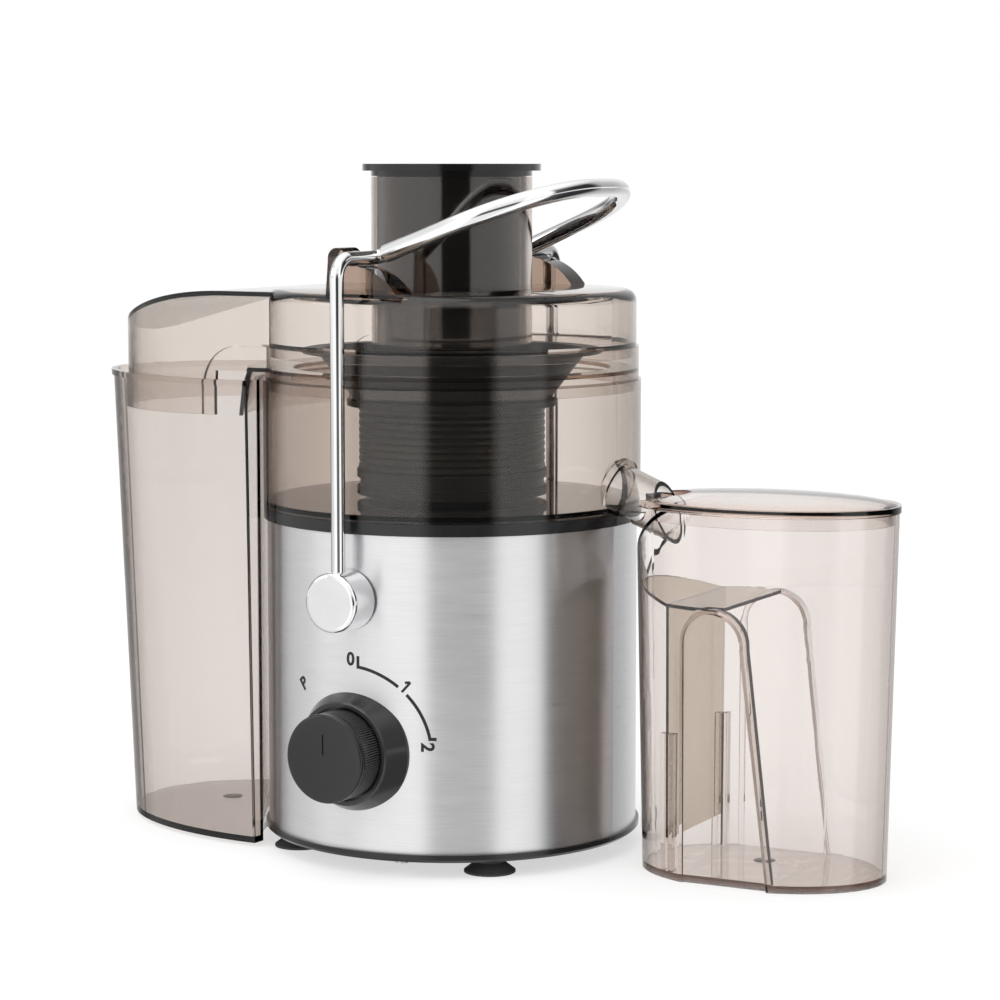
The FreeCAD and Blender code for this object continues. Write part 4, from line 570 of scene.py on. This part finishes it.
def rib_tree(material):
    """Ring of ribs that are deeper than they are wide"""
    tree = bpy.data.node_groups.new("Knob ribs", "GeometryNodeTree")
    tree.interface.new_socket("Geometry", in_out="OUTPUT", socket_type="NodeSocketGeometry")
    tree.interface.new_socket("Count", in_out="INPUT", socket_type="NodeSocketInt")
    for label in ("Ring Radius", "Rib Radius", "Rib Length", "Rib Depth"):
        tree.interface.new_socket(label, in_out="INPUT", socket_type="NodeSocketFloat")
    start = tree.nodes.new("NodeGroupInput")
    end = tree.nodes.new("NodeGroupOutput")
    ring = wire(tree, "GeometryNodeMeshCircle", {
        "Vertices": start.outputs["Count"], "Radius": start.outputs["Ring Radius"]})
    rib = wire(tree, "GeometryNodeMeshCylinder", {
        "Vertices": 8, "Radius": start.outputs["Rib Radius"], "Depth": start.outputs["Rib Length"]})
    outward = tree.nodes.new("GeometryNodeInputPosition")
    turn = wire(tree, "FunctionNodeAlignRotationToVector", {"Vector": outward.outputs[0]}, axis="X")
    stretch = wire(tree, "ShaderNodeCombineXYZ", {0: start.outputs["Rib Depth"], 1: 1.0, 2: 1.0})
    placed = wire(tree, "GeometryNodeInstanceOnPoints", {
        "Points": ring.outputs[0], "Instance": rib.outputs[0], "Rotation": turn.outputs[0],
        "Scale": stretch.outputs[0]})
    solid = wire(tree, "GeometryNodeRealizeInstances", {0: placed.outputs[0]})
    coated = wire(tree, "GeometryNodeSetMaterial", {"Geometry": solid.outputs[0], "Material": material})
    feed(tree, end, {0: coated.outputs[0]})
    return tree


def grown_mesh(name, tree, values):
    """Plain mesh of a node tree with these inputs"""
    holder = bpy.data.objects.new(name, bpy.data.meshes.new(name))
    bpy.context.scene.collection.objects.link(holder)
    grow = holder.modifiers.new("grow", "NODES")
    grow.node_group = tree
    for item in tree.interface.items_tree:
        if item.item_type == "SOCKET" and item.in_out == "INPUT":
            grow[item.identifier] = values[item.name]
    return settled_mesh(holder)


def knob_space():
    """Turns a shape about Z into one about the knob's axis, face towards the front"""
    back = Vector((KNOB_MIDDLE.x, KNOB_HIGH.y, KNOB_MIDDLE.z))
    return Matrix.Translation(back) @ Matrix.Rotation(math.radians(90.0), 4, "X")


def knob_profile(radius, reach, grip):
    """Section of the knob as (radius, height): grip, wider smooth band and rounded face"""
    size = sizes()
    edge = size.cap_edge
    face = reach - KNOB_CROWN
    profile = [(0.0, 0.0), (grip - KNOB_FOOT_EDGE, 0.0), (grip, KNOB_FOOT_EDGE)]
    profile += [(grip, reach - size.cap_band - KNOB_STEP), (radius, reach - size.cap_band)]
    for step in range(7):
        angle = math.radians(90.0) * step / 6.0
        profile.append((radius - edge + edge * math.cos(angle), face - edge + edge * math.sin(angle)))
    return profile + [(radius - edge - KNOB_CROWN_RUN, reach), (0.0, reach)]


def groove_outline(radius):
    """Long hole that the pointer groove follows, as (x, y)"""
    size = sizes()
    half = size.pointer_width / 2.0
    low = radius * GROOVE_END - size.pointer_length
    high = radius * GROOVE_END - half
    outline = []
    for step in range(9):
        angle = math.pi * step / 8.0
        outline.append((half * math.cos(angle), high + half * math.sin(angle)))
    for step in range(9):
        angle = math.pi + math.pi * step / 8.0
        outline.append((half * math.cos(angle), low + half + half * math.sin(angle)))
    return outline


def cut_groove(mesh, radius, reach):
    """Pointer groove cut into the knob's face"""
    shape = bmesh.new()
    outline = groove_outline(radius)
    base = [shape.verts.new((x * GROOVE_FLOOR_SHARE, y, reach - GROOVE_DEPTH)) for x, y in outline]
    top = [shape.verts.new((x * GROOVE_MOUTH_SHARE, y, reach + GROOVE_OVER)) for x, y in outline]
    shape.faces.new(base)
    shape.faces.new(top)
    for step in range(len(base)):
        after = (step + 1) % len(base)
        shape.faces.new((base[step], base[after], top[after], top[step]))
    cutter_mesh = close_mesh(shape, bpy.data.meshes.new("groove_cutter"))
    body = bpy.data.objects.new("groove_body", mesh)
    cutter = bpy.data.objects.new("groove_cutter", cutter_mesh)
    for piece in (body, cutter):
        bpy.context.scene.collection.objects.link(piece)
    groove = body.modifiers.new("groove", "BOOLEAN")
    groove.operation = "DIFFERENCE"
    groove.object = cutter
    groove.solver = "EXACT"
    done = settled_mesh(body)
    bpy.data.objects.remove(cutter)
    shape = bmesh.new()
    shape.from_mesh(done)
    return close_mesh(shape, done, math.radians(20.0))


def on_steel(around, up, lift):
    """Point on the steel sleeve, from a length round it and a height over the knob's axis"""
    angle = around / SLEEVE_RADIUS
    reach = SLEEVE_RADIUS + lift
    return Vector((reach * math.sin(angle), -reach * math.cos(angle), KNOB_MIDDLE.z + up))


def turned_point(x, y, degrees):
    """Point turned clockwise about the origin"""
    angle = math.radians(degrees)
    return (x * math.cos(angle) + y * math.sin(angle), y * math.cos(angle) - x * math.sin(angle))


def arc_path(start, end, radius, steps=24):
    path = []
    for step in range(steps + 1):
        angle = math.radians(start + (end - start) * step / steps)
        path.append((radius * math.sin(angle), radius * math.cos(angle)))
    return path


def printed_strip(shape, path, width, lift):
    """Raised line on the steel along points of (around, up)"""
    rows = []
    for index, (around, up) in enumerate(path):
        before = Vector(path[max(0, index - 1)])
        after = Vector(path[min(len(path) - 1, index + 1)])
        run = (after - before).normalized()
        side = Vector((-run.y, run.x)) * width / 2.0
        row = []
        for sign, height in ((1, lift), (-1, lift), (-1, -lift), (1, -lift)):
            row.append(shape.verts.new(on_steel(around + sign * side.x, up + sign * side.y, height)))
        rows.append(row)
    for first, second in zip(rows, rows[1:]):
        for step in range(4):
            after = (step + 1) % 4
            shape.faces.new((first[step], first[after], second[after], second[step]))
    shape.faces.new(rows[0])
    shape.faces.new(rows[-1])


def printed_character(shape, text, around, up, turn, height, lift):
    """One dial character wrapped on the steel"""
    curve = bpy.data.curves.new("dial_character", "FONT")
    curve.body = text
    curve.align_x = "CENTER"
    curve.align_y = "CENTER"
    curve.size = height * TEXT_SIZE
    curve.extrude = lift
    curve.offset = height * TEXT_WEIGHT
    holder = bpy.data.objects.new("dial_character", curve)
    bpy.context.scene.collection.objects.link(holder)
    flat = settled_mesh(holder)
    across = [vertex.co.x for vertex in flat.vertices]
    upward = [vertex.co.y for vertex in flat.vertices]
    middle = Vector((min(across) + max(across), min(upward) + max(upward))) / 2.0
    for vertex in flat.vertices:
        right, rise = turned_point(vertex.co.x - middle.x, vertex.co.y - middle.y, turn)
        vertex.co = on_steel(around + right, up + rise, vertex.co.z)
    shape.from_mesh(flat)
    bpy.data.meshes.remove(flat)


def printed_one(shape, around, up, turn, height, width, lift):
    """Figure one as a stem with its flag"""
    top = (0.0, height / 2.0)
    foot = (0.0, -height / 2.0)
    flag = (-height * 0.3, height * 0.2)
    for path in ((foot, top), (top, flag)):
        turned = []
        for x, y in path:
            right, rise = turned_point(x, y, turn)
            turned.append((around + right, up + rise))
        printed_strip(shape, turned, width, lift)


# Operators, one for each group of pieces

class JUICER_OT_steel_body(bpy.types.Operator):
    """Brushed finish of the body sleeve"""

    bl_idname = "juicer.steel_body"
    bl_label = "Steel body"

    def execute(self, context):
        paint(brushed_steel(), "steel_sleeve")
        return {"FINISHED"}


class JUICER_OT_smoked_shells(bpy.types.Operator):
    """Smoky clear finish of bowl, lid, container and jug"""

    bl_idname = "juicer.smoked_shells"
    bl_label = "Smoked shells"

    def execute(self, context):
        tint = colours()
        # Bowl and lid get a band of painted shade over their lower edges
        bowl = smoked_plastic("bowl_smoke", tint.bowl_smoke, BOWL_DENSITY, BOWL_SHADOW, BOWL_RIM,
                              level=0.72, shade_seam_height=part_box("juice_bowl")[1].z)
        lid = smoked_plastic("lid_smoke", tint.bowl_smoke, BOWL_DENSITY, BOWL_SHADOW, BOWL_RIM,
                             level=0.8, lean=1.1, shade_seam_height=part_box("filter_surround")[1].z)
        container = smoked_plastic("bin_smoke", tint.bin_smoke, BIN_DENSITY, BIN_SHADOW, BIN_RIM, level=0.8)
        jug = smoked_plastic("jug_smoke", tint.jug_smoke, JUG_DENSITY, JUG_SHADOW, JUG_RIM, level=0.78)
        cover = smoked_plastic("jug_lid_smoke", tint.jug_smoke, JUG_DENSITY, JUG_SHADOW, JUG_RIM, level=1.0)
        separator = smoked_plastic("separator_smoke", tint.separator_smoke, SEPARATOR_DENSITY,
                                   SEPARATOR_SHADOW, JUG_RIM, level=0.95)
        paint(bowl, "juice_bowl", "filter_surround")
        paint(lid, "lid")
        paint(container, "pulp_container")
        paint(jug, "juice_jug")
        paint(cover, "jug_lid")
        paint(separator, "froth_separator")
        return {"FINISHED"}


class JUICER_OT_chrome_arm(bpy.types.Operator):
    """Chrome of the locking arm and its hubs"""

    bl_idname = "juicer.chrome_arm"
    bl_label = "Chrome arm"

    def execute(self, context):
        paint(polished_chrome(), "arm_loop", "arm_rod_front", "arm_rod_rear", "pivot_hubs", "pivot_studs")
        return {"FINISHED"}


class JUICER_OT_black_mouldings(bpy.types.Operator):
    """Black rings, bezel, pusher, gland and rubber feet"""

    bl_idname = "juicer.black_mouldings"
    bl_label = "Black mouldings"

    def execute(self, context):
        tint = colours()
        paint(moulded("gloss_black", tint.gloss_black, (0.10, 0.20), scale=700.0, strength=0.02),
              "motor_deck", "bottom_cover")
        paint(moulded("bezel_black", tint.bezel_black, (0.10, 0.2), scale=700.0, strength=0.02),
              "knob_bezel")
        paint(moulded("pusher_black", tint.pusher_black, (0.06, 0.14), scale=500.0, strength=0.015),
              "pusher")
        paint(moulded("foot_rubber", tint.rubber, (0.6, 0.8), scale=1500.0, strength=0.2, specular=0.3),
              "suction_feet", "motor_mounts", "shaft_seal", "cord_gland")
        return {"FINISHED"}


class JUICER_OT_basket(bpy.types.Operator):
    """Filter basket with its grater and drive coupling"""

    bl_idname = "juicer.basket"
    bl_label = "Filter basket"

    def execute(self, context):
        tint = colours()
        paint(sieve_mesh(), "sieve")
        paint(bare_metal("grater_steel", tint.grater_steel, (0.2, 0.4), lines=1500.0, run=40.0),
              "grater_disc")
        paint(moulded("basket_black", tint.basket_black, (0.3, 0.45), strength=0.05, specular=0.25),
              "basket_base", "basket_rim", "drive_coupling")
        return {"FINISHED"}


class JUICER_OT_motor(bpy.types.Operator):
    """Motor, switch and housing inside the body"""

    bl_idname = "juicer.motor"
    bl_label = "Motor and switch"

    def execute(self, context):
        tint = colours()
        paint(moulded("housing_grey", tint.housing_grey, (0.45, 0.6), strength=0.1), "inner_housing")
        paint(bare_metal("zinc_sheet", tint.zinc, (0.3, 0.5), lines=900.0, run=8.0),
              "upper_bracket", "lower_bracket", "cover_screws", "mount_screws", "stator_bolts")
        paint(bare_metal("ground_steel", tint.ground_steel, (0.12, 0.25), lines=3000.0, run=4.0),
              "motor_shaft", "upper_bearing", "lower_bearing", "switch_shaft")
        paint(bare_metal("stacked_iron", tint.iron, (0.4, 0.6), lines=4000.0, run=1.0),
              "stator_core", "armature_core")
        paint(bare_metal("wound_copper", tint.copper, (0.25, 0.45), lines=2400.0, run=2.0),
              "field_coils", "armature_windings", "commutator")
        paint(moulded("pressed_carbon", tint.carbon, (0.5, 0.7), scale=1800.0, strength=0.2),
              "carbon_brushes")
        paint(moulded("white_nylon", tint.nylon, (0.35, 0.5), scale=800.0, strength=0.06),
              "rotary_switch", "interlock_switch", "brush_holders", "cooling_fan")
        return {"FINISHED"}


class JUICER_OT_knob(bpy.types.Operator):
    """Speed knob with its fine ribs and pointer groove"""

    bl_idname = "juicer.knob"
    bl_label = "Speed knob"

    def execute(self, context):
        size = sizes()
        tint = colours()
        reach = KNOB_HIGH.y - KNOB_LOW.y
        radius = (KNOB_HIGH.x - KNOB_LOW.x) / 2.0
        half_depth = size.rib_radius * size.rib_depth
        profile = knob_profile(radius, reach, radius - half_depth * KNOB_GRIP_SHARE)
        cap = close_mesh(turned_shape(profile, 128), bpy.data.meshes.new("knob_cap"))
        cap = cut_groove(cap, radius, reach)
        cap.transform(knob_space())
        material = moulded("satin_knob_black", tint.satin_black, (0.13, 0.22), scale=2200.0, strength=0.03)
        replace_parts(add_object("knob_cap", cap, material, "knob"), "control_knob")
        length = reach - size.cap_band - RIB_SHORTENING
        # The ribs' lighter black is a painted highlight; the knob's plastic is one black
        rib_painted_highlight = moulded("knob_rib_painted_highlight", tint.rib_painted_highlight, (0.2, 0.3), scale=2200.0, strength=0.04)
        ribs = grown_mesh("knob_ribs", rib_tree(rib_painted_highlight), {
            "Count": size.rib_count, "Ring Radius": radius - half_depth - RIB_SINK,
            "Rib Radius": size.rib_radius, "Rib Length": length, "Rib Depth": size.rib_depth})
        ribs.transform(Matrix.Translation((0.0, 0.0, RIB_START + length / 2.0)))
        ribs.transform(knob_space())
        add_object("knob_ribs", ribs, rib_painted_highlight, "knob")
        return {"FINISHED"}


class JUICER_OT_dial_marks(bpy.types.Operator):
    """Speed arcs and characters printed on the steel round the knob"""

    bl_idname = "juicer.dial_marks"
    bl_label = "Dial marks"

    def execute(self, context):
        size = sizes()
        width, lift, height = size.line_width, size.print_lift, size.digit_height
        shape = bmesh.new()
        first, second = [arc_path(start, end, size.dial_radius) for start, end in DIAL_ARCS]
        printed_strip(shape, first, width, lift)
        printed_strip(shape, second, width, lift)
        around, up = first[0]
        printed_strip(shape, [(around, up - width / 2.0), (around, up + DIAL_TICK)], width, lift)
        around, up = second[-1]
        last_tick = DIAL_TICK * DIAL_LAST_TICK
        printed_strip(shape, [(around - width / 2.0, up), (around + last_tick, up)], width, lift)
        for text, around, up, turn in DIAL_CHARACTERS:
            if text == "1":
                printed_one(shape, around, up, turn, height, width * ONE_WIDTH, lift)
            else:
                printed_character(shape, text, around, up, turn, height, lift)
        mesh = close_mesh(shape, bpy.data.meshes.new("dial_marks"))
        print_black = moulded("dial_print", colours().print_black, (0.4, 0.6), scale=2500.0, strength=0.03)
        add_object("dial_marks", mesh, print_black, "base")
        return {"FINISHED"}


class JUICER_OT_gate_marks(bpy.types.Operator):
    """Round moulding marks in the floors of container and jug"""

    bl_idname = "juicer.gate_marks"
    bl_label = "Gate marks"

    def execute(self, context):
        radius = sizes().gate_radius
        material = moulded("gate_mark", colours().gate_mark, (0.2, 0.4), strength=0.03)
        for body, node, (x, y), floor in GATE_MARKS:
            profile = [(radius * share, height) for share, height in GATE_SECTION]
            mesh = close_mesh(turned_shape(profile, 48), bpy.data.meshes.new(body + "_gate_mark"))
            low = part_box(node)[0].z
            mesh.transform(Matrix.Translation((x, y, low + floor - GATE_SINK)))
            add_object(body + "_gate_mark", mesh, material, body)
        return {"FINISHED"}


# Studio

def light_ramp(tree, share, stops):
    """Light by compass angle, from (degrees, light) stops"""
    greys = [((degrees + 180.0) / 360.0, (light, light, light, 1.0)) for degrees, light in stops]
    return colour_ramp(tree, share, greys)


def studio_world():
    """White room whose softboxes and gaps show in the metal"""
    world = bpy.data.worlds.new("studio")
    world.use_nodes = True
    tree = world.node_tree
    tree.nodes.clear()
    output = tree.nodes.new("ShaderNodeOutputWorld")
    part = parts_of(tree, tree.nodes.new("ShaderNodeTexCoord").outputs["Generated"])
    turn = math_node(tree, "ARCTAN2", part[1], part[0])
    share = between(tree, turn, -math.pi, math.pi)
    steep = math_node(tree, "ABSOLUTE", part[2])
    level = light_ramp(tree, share, LEVEL_LIGHT)
    low = light_ramp(tree, share, LOW_LIGHT)
    sky = light_ramp(tree, share, SKY_LIGHT)
    sides = blend_colour(tree, between(tree, steep, 0.045, 0.08), level, low)
    walls = blend_colour(tree, between(tree, steep, 0.13, 0.32), sides, sky)
    room = blend_colour(tree, between(tree, part[2], 0.55, 0.85), walls, CEILING_LIGHT)
    path = tree.nodes.new("ShaderNodeLightPath")
    clear = math_node(tree, "MAXIMUM", path.outputs["Is Camera Ray"], path.outputs["Is Transmission Ray"])
    first = math_node(tree, "LESS_THAN", path.outputs["Glossy Depth"], 0.5)
    plain = math_node(tree, "MULTIPLY", clear, first)
    light = wire(tree, "ShaderNodeBackground", {0: blend_colour(tree, plain, room, WHITE), 1: 1.0})
    feed(tree, output, {0: light.outputs[0]})
    bpy.context.scene.world = world


def softbox(name, place, aim, width, power):
    lamp = bpy.data.lights.new(name, "AREA")
    lamp.shape = "DISK"
    lamp.size = width
    lamp.energy = power
    holder = bpy.data.objects.new(name, lamp)
    holder.location = place
    holder.rotation_euler = (Vector(aim) - Vector(place)).to_track_quat("-Z", "Y").to_euler()
    bpy.context.scene.collection.objects.link(holder)


def floor_finish():
    """Pale glowing floor that mirrored rays pass through"""
    material, tree, shader, output, place = start_material("studio_floor")
    haze = place_group(tree, haze_group(), {"Vector": place, "Scale": 1.5})
    tone = colours().floor
    feed(tree, shader, {
        "Base Color": blend_colour(tree, haze.outputs["Mask"], four(tone), four(tone, 1.01)),
        "Roughness": 0.9,
        "Specular IOR Level": 0.0,
        "Emission Color": WHITE,
        "Emission Strength": FLOOR_GLOW})
    path = tree.nodes.new("ShaderNodeLightPath")
    mirrored = math_node(tree, "GREATER_THAN", path.outputs["Glossy Depth"], 0.5)
    gap = tree.nodes.new("ShaderNodeBsdfTransparent")
    mix = wire(tree, "ShaderNodeMixShader", {0: mirrored, 1: shader.outputs[0], 2: gap.outputs[0]})
    feed(tree, output, {"Surface": mix.outputs[0]})
    return material


def studio_floor():
    shape = bmesh.new()
    bmesh.ops.create_grid(shape, x_segments=1, y_segments=1, size=FLOOR_HALF_SIZE)
    mesh = bpy.data.meshes.new("studio_floor")
    shape.to_mesh(mesh)
    shape.free()
    mesh.materials.append(floor_finish())
    floor = bpy.data.objects.new("studio_floor", mesh)
    bpy.context.scene.collection.objects.link(floor)


def studio_camera():
    scene = bpy.context.scene
    lens = bpy.data.cameras.new("camera")
    lens.sensor_width = CAMERA_SENSOR
    lens.lens = CAMERA_LENS
    camera = bpy.data.objects.new("camera", lens)
    camera.location = CAMERA_PLACE
    camera.rotation_euler = (math.pi / 2.0 - CAMERA_DIP, 0.0, CAMERA_TURN)
    scene.collection.objects.link(camera)
    scene.camera = camera


class JUICER_OT_stage(bpy.types.Operator):
    """Pale floor, soft studio light and the camera"""

    bl_idname = "juicer.stage"
    bl_label = "Studio"

    def execute(self, context):
        scene = context.scene
        studio_floor()
        studio_world()
        softbox("top_softbox", (-0.3, -0.5, 2.0), (0.0, 0.0, 0.2), width=1.6, power=8.0)
        softbox("left_softbox", (-1.7, -1.3, 1.0), (0.0, 0.0, 0.2), width=1.0, power=4.0)
        studio_camera()
        scene.view_settings.view_transform = "Standard"
        scene.cycles.max_bounces = LIGHT_BOUNCES
        scene.cycles.transmission_bounces = LIGHT_BOUNCES
        scene.cycles.transparent_max_bounces = LIGHT_BOUNCES
        return {"FINISHED"}


OPERATORS = (JUICER_OT_steel_body, JUICER_OT_smoked_shells, JUICER_OT_chrome_arm, JUICER_OT_black_mouldings,
             JUICER_OT_basket, JUICER_OT_motor, JUICER_OT_knob, JUICER_OT_dial_marks, JUICER_OT_gate_marks,
             JUICER_OT_stage)


class JUICER_PT_panel(bpy.types.Panel):
    """Lists the juicer's sizes, colours and operators"""

    bl_idname = "JUICER_PT_panel"
    bl_label = "Juicer"
    bl_space_type = "VIEW_3D"
    bl_region_type = "UI"
    bl_category = "Juicer"

    def draw(self, context):
        for group in (context.scene.juicer_sizes, context.scene.juicer_colours):
            column = self.layout.column(align=True)
            for name in group.__annotations__:
                column.prop(group, name)
        for operator in OPERATORS:
            self.layout.operator(operator.bl_idname)


CLASSES = (JuicerSizes, JuicerColours) + OPERATORS + (JUICER_PT_panel,)


def register():
    for kind in CLASSES:
        bpy.utils.register_class(kind)
    bpy.types.Scene.juicer_sizes = PointerProperty(type=JuicerSizes)
    bpy.types.Scene.juicer_colours = PointerProperty(type=JuicerColours)


def unregister():
    del bpy.types.Scene.juicer_colours
    del bpy.types.Scene.juicer_sizes
    for kind in reversed(CLASSES):
        bpy.utils.unregister_class(kind)


def main():
    register()
    bpy.ops.juicer.stage()
    bpy.ops.juicer.steel_body()
    bpy.ops.juicer.smoked_shells()
    bpy.ops.juicer.chrome_arm()
    bpy.ops.juicer.black_mouldings()
    bpy.ops.juicer.basket()
    bpy.ops.juicer.motor()
    bpy.ops.juicer.knob()
    bpy.ops.juicer.dial_marks()
    bpy.ops.juicer.gate_marks()


if __name__ == "__main__":
    main()
